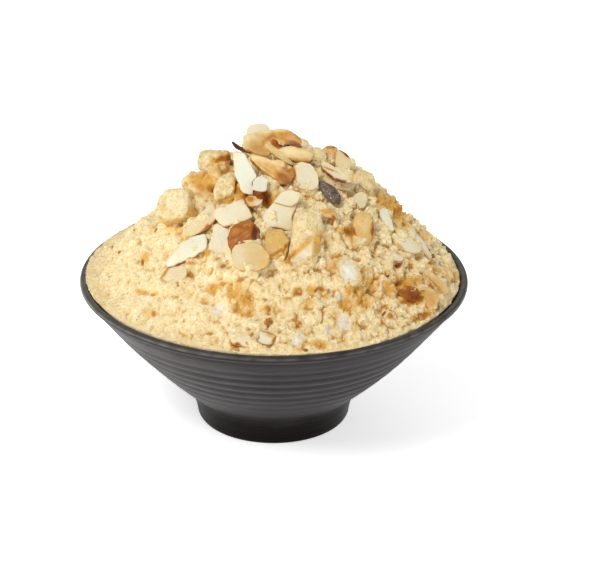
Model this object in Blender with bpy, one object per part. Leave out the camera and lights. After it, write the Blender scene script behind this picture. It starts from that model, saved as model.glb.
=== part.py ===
# Shaved ice under roasted soybean powder, with rice cakes and almonds, in its turned stoneware bowl.
# Units: metres, +Z up. The origin is the centre of the circle that the bowl stands on.
# The front, with the dark seed right of the top, looks along -Y.

import math
import random
from dataclasses import dataclass

import bmesh
import bpy
from mathutils import Matrix, Vector, noise
from mathutils.bvhtree import BVHTree

MM = 0.001
GAP = 0.3 * MM

# Bowl
SECTORS = 42
RIM_RADIUS = 100 * MM
RIM_HEIGHT = 80 * MM
LIP_RADIUS = 97.5 * MM
LIP_HEIGHT = 75.4 * MM
FOOT_TOP_RADIUS = 44.5 * MM
FOOT_TOP_HEIGHT = 15.7 * MM
FOOT_RADIUS = 40.3 * MM
FOOT_WALL = 6 * MM
FOOT_RECESS = 10 * MM
WALL = 4 * MM
WALL_BULGE = 2.5 * MM
FLOOR_HEIGHT = 19 * MM
FLOOR_RADIUS = 30 * MM
RIB_COUNT = 8
RIB_DEPTH = 0.6 * MM
RIB_BAND = (0.09, 0.86)

# Heap of shaved ice and powder
HEAP_EDGE = 78.5 * MM
HEAP_RISE = 68 * MM
HEAP_REACH = 98 * MM
HEAP_RINGS = 18
HEAP_LEAN = 5 * MM
SHOULDER_SPREAD = 2.2
ROUGH_SCALES = ((26 * MM, 3.2 * MM), (11 * MM, 2.2 * MM))
BANK_SHARE = 0.72
BANK_SPREAD = 0.45
LEAST_SLOPE_GAP = 0.6 * MM
EDGE_CALM = 0.35
CALM_RUN = 6
CRUMB_COUNT = 22
CRUMB_SIZES = (1.5 * MM, 3.0 * MM)
CRUMB_FIELD = 88 * MM
LAY_STEP = 0.25 * MM
LAY_TRIES = 60
SEED = 14

# Colours as linear red, green and blue
STONEWARE = (0.045, 0.042, 0.047)
POWDER = (0.86, 0.69, 0.37)
CAKE = (0.84, 0.66, 0.36)
ALMOND = (0.88, 0.75, 0.52)
TOASTED = (0.58, 0.27, 0.075)
SKIN = (0.30, 0.105, 0.035)
SEED_HUSK = (0.11, 0.075, 0.055)


@dataclass
class Swelling:
    """A broad rise of the heap: its place and its spread and height in millimetres."""

    x: float
    y: float
    spread: float
    height: float


SWELLINGS = (
    Swelling(-34, 4, 19, 7),
    Swelling(35, 6, 21, 8),
    Swelling(1, 0, 16, 4),
    Swelling(4, 34, 22, 6),
    Swelling(-12, -56, 15, 3),
    Swelling(20, -44, 18, 3),
    Swelling(62, -8, 18, 3),
    Swelling(-30, 52, 17, 3),
    Swelling(66, 14, 20, 5),
    Swelling(-72, 22, 20, 2.5),
    Swelling(40, 46, 18, 3),
)


@dataclass
class Topping:
    """One piece on the heap. Lengths are in millimetres and angles in degrees.

    at is the place on the heap seen from above, and lift how far the piece's middle stands out
    of the heap. azimuth and elevation say where its face looks, with azimuth -90 to the front
    and elevation 90 straight up. turn is the angle of its length from the horizontal.
    """

    name: str
    at: tuple
    lift: float
    size: tuple
    azimuth: float
    elevation: float
    turn: float
    bow: float = 0.0
    cup: float = 0.0


# Powdered cubes and lumps of rice cake: size is length, width and depth.
CAKES = (
    Topping("cake_left", (-46, -16), 2.4, (20, 18.5, 18), -120, 35, 0),
    Topping("cake_left_peak", (-29, -2), 4.2, (17, 10.5, 9), -110, 50, 8),
    Topping("cake_left_clump", (-41, 3), 0.4, (12, 9.5, 8), -140, 45, 40),
    Topping("cake_upper", (-22, -22), 3.2, (14, 10.5, 10), -105, 45, 75),
    Topping("cake_top_right", (20, -7), 3.4, (9.5, 8, 7), -60, 50, 70),
    Topping("cake_right_shoulder", (43, -6), 1.6, (12, 12, 9), -50, 50, 10),
    Topping("cake_speckled", (1, -54), 1.4, (13.5, 11.5, 9), -90, 40, 80),
    Topping("cake_long", (15, -52), 2.6, (28, 13, 12), -75, 40, 72),
    Topping("cake_bare", (36, -59), 1.6, (12.5, 9, 9), -70, 45, 112),
    Topping("cake_back_left", (-26, 44), 3.0, (19, 18, 15), 115, 40, 15),
    Topping("cake_back_right", (30, 44), 1.5, (18, 13, 11), 50, 45, 40),
    Topping("cake_back_low", (6, 60), 2.5, (16, 15, 13), 95, 40, 100),
)

# Thick pieces of almond: size is length, width and thickness.
NUTS = (
    Topping("toasted_half", (-1, -21), 5.2, (25, 13, 7), -88, 42, -24),
    Topping("pale_half", (8, -10), 5.0, (17, 8.5, 4.5), -80, 48, -10),
    Topping("skin_chunk", (-14, -49), 1.6, (15.5, 13.5, 6), -95, 45, 18),
    Topping("tan_slab", (42, -37), 2.6, (17, 9.5, 4), -65, 38, 88),
    Topping("toasted_back", (8, 25), 1.6, (20, 12, 6), 80, 50, 20),
    Topping("brown_slab", (75, -49), 1.6, (14, 7, 3), -50, 50, -78),
)

# Almond slices, whole and broken: size is length, width and thickness.
SLICES = (
    Topping("slice_white", (-13, -21), 3.0, (24, 11.5, 1.3), -100, 28, 112, 0.8),
    Topping("slice_white_chip", (-7, -27), 3.0, (9, 7, 1.2), -85, 42, 22),
    Topping("slice_cream", (15, -22), 4.0, (15, 10.5, 1.4), -85, 38, 96, 0.6),
    Topping("slice_tan_chip", (-9, -33), 1.8, (9, 6.5, 1.4), -90, 50, 10),
    Topping("slice_c", (-26, -47), 2.2, (23, 11, 1.2), -112, 45, 114, 0.6),
    Topping("slice_a", (-35, -31), 3.0, (22, 11.5, 1.2), -125, 45, 246, 0.8),
    Topping("slice_b", (-19, -38), 4.0, (20, 12, 1.3), -100, 45, 20, 0.7, 0.4),
    Topping("slice_d", (-42, -42), 2.3, (23, 11.5, 1.2), -120, 45, 226, 0.8, 0.4),
    Topping("slice_e", (-12, -58), 2.0, (20, 15, 1.5), -95, 44, 2, 0.6, 0.8),
    Topping("slice_f", (-46, -51), 1.0, (11.5, 8.5, 1.2), -130, 50, 34),
    Topping("slice_g", (1, -42), 3.0, (18, 13, 1.3), -90, 45, 62, 0.6, 0.4),
    Topping("slice_g_upper", (6, -35), 3.0, (11, 8, 1.3), -85, 45, 48),
    Topping("slice_arch", (28, -41), 1.8, (10, 7.5, 1.6), -60, 40, 25, 2.2),
    Topping("slice_white_bit", (39, -24), 1.8, (10, 7, 2.4), -60, 45, 68),
    Topping("slice_h", (54, -22), 1.8, (15, 6, 1.3), -60, 45, 98),
    Topping("slice_strip", (71, -19), 1.8, (27, 5.5, 1.3), -40, 50, -98, 1.0),
    Topping("slice_i", (64, -27), 2.0, (18.5, 8.5, 1.3), -55, 50, -38, 0.8),
    Topping("slice_grey", (59, -38), 1.3, (9, 4, 1.2), -60, 50, -34),
    Topping("slice_stick", (78, -32), 1.8, (20, 4.5, 2.4), -45, 45, -78, 0.8),
    Topping("slice_rim", (84, -21), 1.6, (10, 8.5, 1.3), -35, 55, -60),
    Topping("slice_rim_slab", (65, -50), 2.0, (13, 10, 2.2), -60, 35, -50, 2.6),
    Topping("slice_front", (-3, -88), 1.2, (11, 6.5, 1.3), -90, 60, -34),
    Topping("slice_front_left", (-17, -89), 1.2, (13.5, 6.5, 1.3), -95, 60, 154),
    Topping("slice_stack_low", (32, -17), 2.6, (16, 6.5, 1.3), -72, 60, -46, 1.4),
    Topping("slice_stack", (27, -15), 3.9, (20, 6.5, 1.3), -75, 60, -44, 1.6),
    Topping("slice_curl", (28, -2), 4.6, (9, 7, 1.4), -75, 35, 34, 2.2),
    Topping("slice_dark_edge", (33, -4), 3.0, (9.5, 7, 1.6), -65, 40, 112, 1.0),
    Topping("slice_sliver", (2, -13), 6.2, (18, 4.2, 1.4), -60, 40, -48, 0.8),
    Topping("slice_curled", (-14, -4), 6.0, (14, 3.6, 1.2), -110, 45, -22, 1.6),
    Topping("slice_back_a", (-8, 38), 3.0, (22, 11, 1.2), 100, 50, 30, 0.8),
    Topping("slice_back_b", (24, 62), 2.2, (21, 10, 1.2), 75, 45, 130, 0.7),
    Topping("slice_back_c", (54, 26), 1.6, (20, 11, 1.3), 20, 45, 55, 0.8),
    Topping("slice_back_d", (-42, 50), 2.0, (22, 10, 1.2), 130, 48, 340, 0.8),
    Topping("slice_back_e", (-12, 66), 2.2, (18, 10, 1.2), 105, 48, 75, 0.6),
)

CROWN = (
    Topping("toasted_slab", (0, -3), 2.4, (30, 14, 3.6), -80, 45, -14, -3.0),
    Topping("crown_slice", (-6, 3), 7.4, (13, 10, 1.8), -95, 50, 10, 0.8),
)

PUMPKIN = Topping("pumpkin_seed", (26, -26), 2.4, (15.5, 7.4, 2.8), -65, 50, -60)


def clear_scene():
    """Removes every object that the scene starts with."""
    for old in list(bpy.data.objects):
        bpy.data.objects.remove(old, do_unlink=True)


def finish(name, colour, roughness):
    """Principled material of one colour."""
    material = bpy.data.materials.new(name)
    material.use_nodes = True
    shader = material.node_tree.nodes["Principled BSDF"]
    shader.inputs["Base Color"].default_value = (*colour, 1)
    shader.inputs["Roughness"].default_value = roughness
    shader.inputs["Metallic"].default_value = 0
    return material


def add_object(name, mesh, material=None):
    """Links a mesh into the scene as an object with its material."""
    thing = bpy.data.objects.new(name, mesh)
    bpy.context.collection.objects.link(thing)
    if material:
        mesh.materials.append(material)
    return thing


def mesh_of(name, work):
    """Turns a bmesh into a mesh whose faces point outwards."""
    bmesh.ops.recalc_face_normals(work, faces=work.faces)
    mesh = bpy.data.meshes.new(name)
    work.to_mesh(mesh)
    work.free()
    return mesh


def wall_point(s, depth):
    """Point (radius, height) of the bowl's wall: s runs from lip to foot, depth goes inwards."""
    run = FOOT_TOP_RADIUS - LIP_RADIUS
    fall = FOOT_TOP_HEIGHT - LIP_HEIGHT
    length = math.hypot(run, fall)
    out = (-fall / length, run / length)
    bulge = WALL_BULGE * 4 * s * (1 - s) - depth
    return LIP_RADIUS + run * s + out[0] * bulge, LIP_HEIGHT + fall * s + out[1] * bulge


def inner_profile(depth=WALL):
    """Inside of the bowl from the lip down to the middle of its floor."""
    points = [(RIM_RADIUS - depth, RIM_HEIGHT - 1.5 * MM)]
    points += [wall_point(s, depth) for s in (0.06, 0.32, 0.58, 0.82)]
    extra = depth - WALL
    points += [(FLOOR_RADIUS - extra, FLOOR_HEIGHT + 1.6 * MM + extra), (0, FLOOR_HEIGHT + extra)]
    return points


def ribbed_wall():
    """Outside of the wall, with a crest and a groove for each throwing rib."""
    first, last = RIB_BAND
    points = [wall_point(0.0, 0.2 * MM)]
    for k in range(2 * RIB_COUNT + 1):
        share = k / (2 * RIB_COUNT)
        fade = min(1.0, 3 * (1 - share) + 0.25)
        depth = RIB_DEPTH * fade if k % 2 else 0.0
        points.append(wall_point(first + (last - first) * share, depth))
    return points


def build_bowl():
    """Turned bowl on a hollow foot ring, one closed profile spun about Z."""
    lip = [
        (RIM_RADIUS - 3.2 * MM, RIM_HEIGHT - 0.3 * MM),
        (RIM_RADIUS - 1.6 * MM, RIM_HEIGHT),
        (RIM_RADIUS - 0.2 * MM, RIM_HEIGHT - 0.8 * MM),
        (RIM_RADIUS, RIM_HEIGHT - 2.0 * MM),
        (RIM_RADIUS - 1.2 * MM, RIM_HEIGHT - 3.2 * MM),
    ]
    foot = [
        (FOOT_TOP_RADIUS - 0.6 * MM, FOOT_TOP_HEIGHT - 1.4 * MM),
        (FOOT_RADIUS + 1.2 * MM, FOOT_TOP_HEIGHT * 0.45),
        (FOOT_RADIUS + 0.3 * MM, 1.2 * MM),
        (FOOT_RADIUS - 0.8 * MM, 0),
        (FOOT_RADIUS - FOOT_WALL, 0),
        (FOOT_RADIUS - FOOT_WALL - 1.5 * MM, FOOT_RECESS - 1 * MM),
        (FOOT_RADIUS - FOOT_WALL - 4 * MM, FOOT_RECESS),
        (0, FOOT_RECESS + 1 * MM),
    ]
    outline = list(reversed(inner_profile())) + lip + ribbed_wall() + foot
    mesh = bpy.data.meshes.new("bowl")
    edges = [(k, k + 1) for k in range(len(outline) - 1)]
    mesh.from_pydata([(r, 0, z) for r, z in outline], edges, [])
    bowl = add_object("bowl", mesh, finish("glazed_stoneware", STONEWARE, 0.42))
    turn = bowl.modifiers.new("turned", "SCREW")
    turn.steps = SECTORS
    turn.render_steps = SECTORS
    turn.use_merge_vertices = True
    turn.merge_threshold = 0.00001
    turn.use_smooth_shade = True
    turn.use_normal_calculate = True
    return bowl


def wall_height(radius):
    """Height at which the inside of the bowl has this radius, with the gap to the ice."""
    profile = inner_profile(WALL + GAP)
    for (wide, high), (narrow, low) in zip(profile, profile[1:]):
        if narrow <= radius <= wide:
            return low + (high - low) * (radius - narrow) / (wide - narrow)
    return RIM_HEIGHT


def bare_height(x, y):
    """Height of the smooth heap: a cone with a round top, fuller to the right, with swellings."""
    share = min(math.hypot(x, y) / HEAP_REACH, 1.0)
    leaning = math.hypot(x - HEAP_LEAN * 4 * share * (1 - share), y)
    share = min(leaning / HEAP_REACH, 1.0)
    height = HEAP_EDGE + HEAP_RISE * (1 - share**1.7) ** 1.3
    for rise in SWELLINGS:
        away = ((x / MM - rise.x) ** 2 + (y / MM - rise.y) ** 2) / rise.spread**2
        height += rise.height * MM * math.exp(-SHOULDER_SPREAD * away)
    return height


def heap_height(x, y):
    """Height of the heap with the unevenness of loose powder."""
    height = bare_height(x, y)
    calm = min(1.0, EDGE_CALM + CALM_RUN * (1 - math.hypot(x, y) / HEAP_REACH))
    for scale, depth in ROUGH_SCALES:
        height += calm * depth * noise.noise(Vector((x, y, SEED * scale)) / scale)
    return max(height, wall_height(math.hypot(x, y)) + LEAST_SLOPE_GAP)


def heap_normal(x, y):
    """Direction that the smooth heap faces at a place."""
    step = 2 * MM
    across = bare_height(x - step, y) - bare_height(x + step, y)
    along = bare_height(x, y - step) - bare_height(x, y + step)
    return Vector((across, along, 2 * step)).normalized()


def polar_rings(work, rings):
    """Adds rings of SECTORS vertices, from the outermost in, and joins them with faces."""
    made = []
    for ring in rings:
        made.append([work.verts.new(point) for point in ring])
    for outer, inner in zip(made, made[1:]):
        for k in range(SECTORS):
            n = (k + 1) % SECTORS
            work.faces.new((outer[k], outer[n], inner[n], inner[k]))
    return made


def close_ring(work, ring, centre):
    """Fans one ring of vertices to a centre."""
    middle = work.verts.new(centre)
    for k, vertex in enumerate(ring):
        work.faces.new((vertex, ring[(k + 1) % len(ring)], middle))


def powder_banks(laid):
    """Powder that lies up under the toppings: place, spread and rise of each bank."""
    banks = []
    for thing, _ in laid:
        place = thing.matrix_world.translation
        rise = BANK_SHARE * (place.z - heap_height(place.x, place.y))
        if rise > MM:
            spread = BANK_SPREAD * sorted(thing.dimensions)[1]
            banks.append((place.x, place.y, spread, rise))
    return banks


def heap_core(laid):
    """Closed solid of the ice: uneven on top, and following the inside of the bowl below."""
    work = bmesh.new()
    inside = inner_profile(WALL + GAP)
    edge = inside[0][0]
    banks = powder_banks(laid)

    def top_height(x, y):
        most = 0.0
        for middle_x, middle_y, spread, rise in banks:
            away = ((x - middle_x) ** 2 + (y - middle_y) ** 2) / spread**2
            most = max(most, rise * math.exp(-away))
        return heap_height(x, y) + most

    def ring(radius, height=None):
        points = []
        for k in range(SECTORS):
            angle = 2 * math.pi * k / SECTORS
            x = radius * math.cos(angle)
            y = radius * math.sin(angle)
            points.append((x, y, top_height(x, y) if height is None else height))
        return points

    tops = [ring(edge * (1 - k / HEAP_RINGS) ** 0.94 - 0.2 * MM) for k in range(HEAP_RINGS)]
    below = [ring(radius, height) for radius, height in inside[:-1]]
    made = polar_rings(work, list(reversed(tops)) + below)
    close_ring(work, made[0], (0, 0, top_height(0, 0)))
    close_ring(work, made[-1], (0, 0, inside[-1][1]))
    bmesh.ops.triangulate(work, faces=work.faces)
    return add_object("ice_heap", mesh_of("ice_heap", work))


def plate(name, outline, top, under, share=0.55):
    """Closed thin solid over an outline, both faces split alike: a rim, an inner ring and a middle."""
    work = bmesh.new()
    layers = []
    for surface in (top, under):
        rings = []
        for reach in (1.0, share):
            spots = [(x * reach, y * reach) for x, y in outline]
            rings.append([work.verts.new((x, y, surface(x, y, reach))) for x, y in spots])
        layers.append(rings)
        for k in range(len(outline)):
            n = (k + 1) % len(outline)
            work.faces.new((rings[0][k], rings[0][n], rings[1][n], rings[1][k]))
        close_ring(work, rings[1], (0, 0, surface(0, 0, 0)))
    upper, lower = layers[0][0], layers[1][0]
    for k in range(len(outline)):
        n = (k + 1) % len(outline)
        work.faces.new((upper[k], upper[n], lower[n], lower[k]))
    bmesh.ops.triangulate(work, faces=work.faces)
    return mesh_of(name, work)


def almond_outline(length, width, point, count, rng):
    """Outline of a sliced almond, pointed towards +X; rng breaks some ends off square."""
    limit = 0.5 * length * (1 - rng.choice((0, 0, 0.12, 0.2)))
    outline = []
    for k in range(count):
        angle = 2 * math.pi * k / count
        x = 0.5 * length * math.cos(angle)
        y = 0.5 * width * math.sin(angle) * (1 - point * 0.5 * (1 + math.cos(angle)))
        fray = 1 + rng.uniform(-0.05, 0.05)
        outline.append((max(x, -limit) * fray, y * fray * (1 + 0.25 * point)))
    return outline


def slice_mesh(topping, rng):
    """Sliced almond: even thickness, bowed along its length and cupped across it."""
    length, width, thickness = (value * MM for value in topping.size)
    count = 12 if topping.size[0] > 14 else 9
    point = rng.uniform(0.25, 0.6)
    outline = almond_outline(length, width, point, count, rng)
    ripple = rng.uniform(0.1, 0.3) * MM
    phase = rng.uniform(0, 6)

    def middle(x, y):
        bent = -topping.bow * MM * (2 * x / length) ** 2
        bent -= topping.cup * MM * (2 * y / width) ** 2
        return bent + ripple * math.sin(phase + 4 * x / length)

    return plate(
        topping.name,
        outline,
        lambda x, y, reach: middle(x, y) + thickness / 2,
        lambda x, y, reach: middle(x, y) - thickness / 2,
    )


def nut_mesh(topping, rng):
    """Thick piece of almond: domed above and flatter below, with a blunt edge."""
    length, width, thickness = (value * MM for value in topping.size)
    outline = almond_outline(length, width, rng.uniform(0.2, 0.45), 12, rng)
    edge = 0.18 * thickness

    def dome(reach):
        return math.sqrt(max(0.0, 1 - reach**2))

    def bent(x):
        return -topping.bow * MM * (2 * x / length) ** 2

    return plate(
        topping.name,
        outline,
        lambda x, y, reach: bent(x) + edge + (0.5 * thickness - edge) * dome(reach),
        lambda x, y, reach: bent(x) - edge - (0.5 * thickness - edge) * dome(reach),
        share=0.62,
    )


def slab_mesh(topping, rng):
    """Curved shell of toasted almond, thick all over and bent like a piece of husk."""
    length, width, thickness = (value * MM for value in topping.size)
    outline = almond_outline(length, width, 0.2, 12, rng)

    def middle(x, y):
        return -topping.bow * MM * ((2 * x / length) ** 2 + 0.5 * (2 * y / width) ** 2)

    def half(reach):
        return thickness * (0.5 - 0.22 * reach**2)

    return plate(
        topping.name,
        outline,
        lambda x, y, reach: middle(x, y) + half(reach),
        lambda x, y, reach: middle(x, y) - half(reach),
        share=0.6,
    )


def cake_mesh(topping, rng):
    """Rounded block of rice cake, uneven under its powder."""
    work = bmesh.new()
    bmesh.ops.create_cube(work, size=2)
    bmesh.ops.subdivide_edges(work, edges=work.edges, cuts=2, use_grid_fill=True)
    sides = [0.5 * value * MM for value in topping.size]
    square = rng.uniform(3.2, 4.4)
    shift = Vector((rng.uniform(0, 50), rng.uniform(0, 50), 0))
    for vertex in work.verts:
        reach = sum(abs(part) ** square for part in vertex.co) ** (1 / square)
        vertex.co /= reach
        lump = 1 + 0.13 * noise.noise(vertex.co * 1.3 + shift)
        vertex.co = Vector([part * side * lump for part, side in zip(vertex.co, sides)])
    bmesh.ops.triangulate(work, faces=work.faces)
    return mesh_of(topping.name, work)


def pose_of(topping, raised):
    """World matrix of a topping: its face, its turn and its place on the heap."""
    azimuth = math.radians(topping.azimuth)
    elevation = math.radians(topping.elevation)
    level = math.cos(elevation)
    face = Vector((level * math.cos(azimuth), level * math.sin(azimuth), math.sin(elevation)))
    aside = Vector((-math.sin(azimuth), math.cos(azimuth), 0))
    frame = Matrix((aside, face.cross(aside), face)).transposed().to_4x4()
    x, y = (value * MM for value in topping.at)
    ground = Vector((x, y, heap_height(x, y)))
    place = ground + heap_normal(x, y) * topping.lift * MM
    place += face * raised
    return Matrix.Translation(place) @ frame @ Matrix.Rotation(math.radians(topping.turn), 4, "Z")


def swollen(mesh, pose, by):
    """Copy of a mesh in its place, with every face moved out by a distance."""
    work = bmesh.new()
    work.from_mesh(mesh)
    work.transform(pose)
    work.normal_update()
    moves = [vertex.normal * by * vertex.calc_shell_factor() for vertex in work.verts]
    for vertex, move in zip(work.verts, moves):
        vertex.co += move
    return work


def lay_topping(topping, mesh, material, laid):
    """Lays a topping on the heap, as far out as it takes to clear those that are there."""
    for k in range(LAY_TRIES):
        pose = pose_of(topping, k * LAY_STEP)
        work = swollen(mesh, pose, GAP)
        tree = BVHTree.FromBMesh(work)
        work.free()
        if not any(tree.overlap(other) for _, other in laid):
            break
    thing = add_object(topping.name, mesh, material)
    thing.matrix_world = pose
    mesh.shade_smooth()
    mesh.set_sharp_from_angle(angle=math.radians(40))
    solid = swollen(mesh, pose, 0)
    laid.append((thing, BVHTree.FromBMesh(solid)))
    solid.free()


def build_toppings():
    """All pieces on the heap, the lowest first; returns them with their search trees."""
    cake = finish("powdered_rice_cake", CAKE, 0.95)
    almond = finish("sliced_almond", ALMOND, 0.6)
    toasted = finish("toasted_almond", TOASTED, 0.5)
    skin = finish("almond_skin", SKIN, 0.55)
    husk = finish("pumpkin_husk", SEED_HUSK, 0.6)
    laid = []
    jobs = [(CROWN[0], slab_mesh, toasted), (CROWN[1], slice_mesh, almond)]
    jobs += [(topping, cake_mesh, cake) for topping in CAKES]
    jobs += [(topping, nut_mesh, toasted) for topping in NUTS]
    jobs += [(PUMPKIN, nut_mesh, husk)]
    jobs += [(topping, slice_mesh, almond) for topping in SLICES]
    for number, (topping, shape, material) in enumerate(jobs):
        if topping.name == "skin_chunk":
            material = skin
        mesh = shape(topping, random.Random(SEED + number))
        lay_topping(topping, mesh, material, laid)
    return laid


def scatter_crumbs(core, laid):
    """Crumbs fused onto the heap, clear of the toppings and of the bowl."""
    rng = random.Random(SEED)
    crumbs = bpy.data.collections.new("crumbs")
    bpy.context.scene.collection.children.link(crumbs)
    made = 0
    while made < CRUMB_COUNT:
        size = rng.uniform(*CRUMB_SIZES)
        radius = CRUMB_FIELD * math.sqrt(rng.random())
        angle = rng.uniform(0, 2 * math.pi)
        x, y = radius * math.cos(angle), radius * math.sin(angle)
        place = Vector((x, y, heap_height(x, y) + 0.25 * size))
        room = min(tree.find_nearest(place)[3] for _, tree in laid)
        if room < 1.3 * size + 2 * GAP:
            continue
        work = bmesh.new()
        bmesh.ops.create_icosphere(work, subdivisions=1, radius=size)
        for vertex in work.verts:
            vertex.co *= rng.uniform(0.8, 1.2)
        spin = Matrix.Rotation(rng.uniform(0, 6.28), 4, Vector((rng.random(), rng.random(), 1)))
        work.transform(Matrix.Translation(place) @ spin)
        crumb = bpy.data.objects.new(f"crumb_{made}", mesh_of("crumb", work))
        crumbs.objects.link(crumb)
        made += 1
    fuse = core.modifiers.new("fused_crumbs", "BOOLEAN")
    fuse.operation = "UNION"
    fuse.operand_type = "COLLECTION"
    fuse.collection = crumbs
    fuse.solver = "MANIFOLD"
    apply_modifiers(core)
    drop_collection(crumbs)


def cut_pockets(core, laid):
    """Takes the toppings' seats out of the heap, with a gap all round them."""
    seats = bpy.data.collections.new("seats")
    bpy.context.scene.collection.children.link(seats)
    for thing, _ in laid:
        work = swollen(thing.data, thing.matrix_world, GAP)
        seats.objects.link(bpy.data.objects.new(f"seat_{thing.name}", mesh_of("seat", work)))
    cut = core.modifiers.new("seats", "BOOLEAN")
    cut.operation = "DIFFERENCE"
    cut.operand_type = "COLLECTION"
    cut.collection = seats
    cut.solver = "MANIFOLD"
    apply_modifiers(core)
    drop_collection(seats)


def apply_modifiers(thing):
    """Puts the evaluated mesh in place of the object's own and removes its modifiers."""
    bpy.context.view_layer.update()
    graph = bpy.context.evaluated_depsgraph_get()
    mesh = bpy.data.meshes.new_from_object(thing.evaluated_get(graph))
    thing.modifiers.clear()
    thing.data = mesh


def drop_collection(collection):
    """Removes a collection and the objects in it."""
    for thing in list(collection.objects):
        bpy.data.objects.remove(thing, do_unlink=True)
    bpy.data.collections.remove(collection)


def keep_largest(core):
    """Drops loose scraps and fills sealed hollows: only the shell of most faces stays."""
    work = bmesh.new()
    work.from_mesh(core.data)
    bmesh.ops.triangulate(work, faces=work.faces)
    unseen = set(work.faces)
    shells = []
    while unseen:
        shell = [unseen.pop()]
        for face in shell:
            for edge in face.edges:
                for other in edge.link_faces if len(edge.link_faces) == 2 else ():
                    if other in unseen:
                        unseen.remove(other)
                        shell.append(other)
        shells.append(shell)
    shells.sort(key=len)
    for shell in shells[:-1]:
        bmesh.ops.delete(work, geom=shell, context="FACES")
    work.to_mesh(core.data)
    work.free()


def build_heap(laid):
    """The heap in one node: core, crumbs fused on, and seats for the toppings."""
    core = heap_core(laid)
    scatter_crumbs(core, laid)
    cut_pockets(core, laid)
    keep_largest(core)
    core.data.materials.clear()
    core.data.materials.append(finish("soybean_powder", POWDER, 0.95))
    core.data.shade_smooth()
    core.data.set_sharp_from_angle(angle=math.radians(50))
    return core


def main():
    """Builds the bowl, the toppings and the heap that carries them."""
    clear_scene()
    build_bowl()
    laid = build_toppings()
    build_heap(laid)


main()
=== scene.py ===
"""Looks of the shaved ice dessert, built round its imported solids.

Everything is in metres, +Z up. The front, with the pumpkin seed right of the top, looks along -Y.
"""

import logging
import math
import random
from dataclasses import dataclass, field
from enum import Enum

import bmesh
import bpy
import numpy as np
from mathutils import Matrix, Vector, noise
from mathutils.bvhtree import BVHTree
from mathutils.geometry import convex_hull_2d
from mathutils.kdtree import KDTree


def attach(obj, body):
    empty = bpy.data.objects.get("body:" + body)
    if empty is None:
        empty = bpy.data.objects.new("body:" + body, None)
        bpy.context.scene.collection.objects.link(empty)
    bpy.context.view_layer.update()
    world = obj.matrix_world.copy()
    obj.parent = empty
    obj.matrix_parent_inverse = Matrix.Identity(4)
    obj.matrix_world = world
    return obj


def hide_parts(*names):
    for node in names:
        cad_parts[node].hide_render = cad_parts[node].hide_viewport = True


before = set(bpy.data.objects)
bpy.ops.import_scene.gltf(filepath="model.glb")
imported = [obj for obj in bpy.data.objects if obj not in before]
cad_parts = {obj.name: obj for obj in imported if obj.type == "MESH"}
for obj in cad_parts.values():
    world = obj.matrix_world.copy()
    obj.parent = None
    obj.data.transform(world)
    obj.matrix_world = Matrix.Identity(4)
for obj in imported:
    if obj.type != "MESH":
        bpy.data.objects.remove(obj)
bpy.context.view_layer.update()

LOG = logging.getLogger("shaved_ice")
MM = 0.001
SEED = 14
CLAMP: dict[str, object] = {"clamp": True}
MULTIPLY: dict[str, object] = {"operation": "MULTIPLY"}
SCALE: dict[str, object] = {"operation": "SCALE"}
Socket = bpy.types.NodeSocket
Value = float | tuple[float, ...] | Socket | bpy.types.Node
Settings = dict[str, object] | None
Inputs = dict[str | int, Value] | None
Coat = tuple[Value, str, float]


def linear(code: str) -> tuple[float, float, float, float]:
    """Turns a colour written as sRGB hex into linear light.

    Args:
        code: the colour, such as "#F4E2AC".

    Returns:
        Red, green, blue and an alpha of one.
    """
    parts = [int(code[k : k + 2], 16) / 255 for k in (1, 3, 5)]
    light = [p / 12.92 if p <= 0.04045 else ((p + 0.055) / 1.055) ** 2.4 for p in parts]
    return light[0], light[1], light[2], 1.0


def add(tree: bpy.types.NodeTree, kind: str, settings: Settings = None, inputs: Inputs = None) -> bpy.types.Node:
    """Adds a node to a tree, with its settings and what its inputs take.

    Args:
        tree: the tree that the node goes into.
        kind: Blender's name for the kind of node.
        settings: the node's own properties.
        inputs: by name or number, a value, or a socket or node that is linked to the input.

    Returns:
        The new node.
    """
    made = tree.nodes.new(kind)
    for label, value in (settings or {}).items():
        setattr(made, label, value)
    for label, value in (inputs or {}).items():
        if isinstance(value, bpy.types.Node):
            value = next(out for out in value.outputs if out.enabled)
        if isinstance(value, Socket):
            tree.links.new(value, made.inputs[label])
        else:
            made.inputs[label].default_value = value
    return made


class Tone(Enum):
    """Tones of the patches that are painted where the photograph shows them, mostly real browning and some painted
    shadow; each names a value of the mesh.
    """

    PALE = "pale"
    GOLDEN = "golden"
    BROWN = "brown"
    DARK = "dark"


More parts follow.
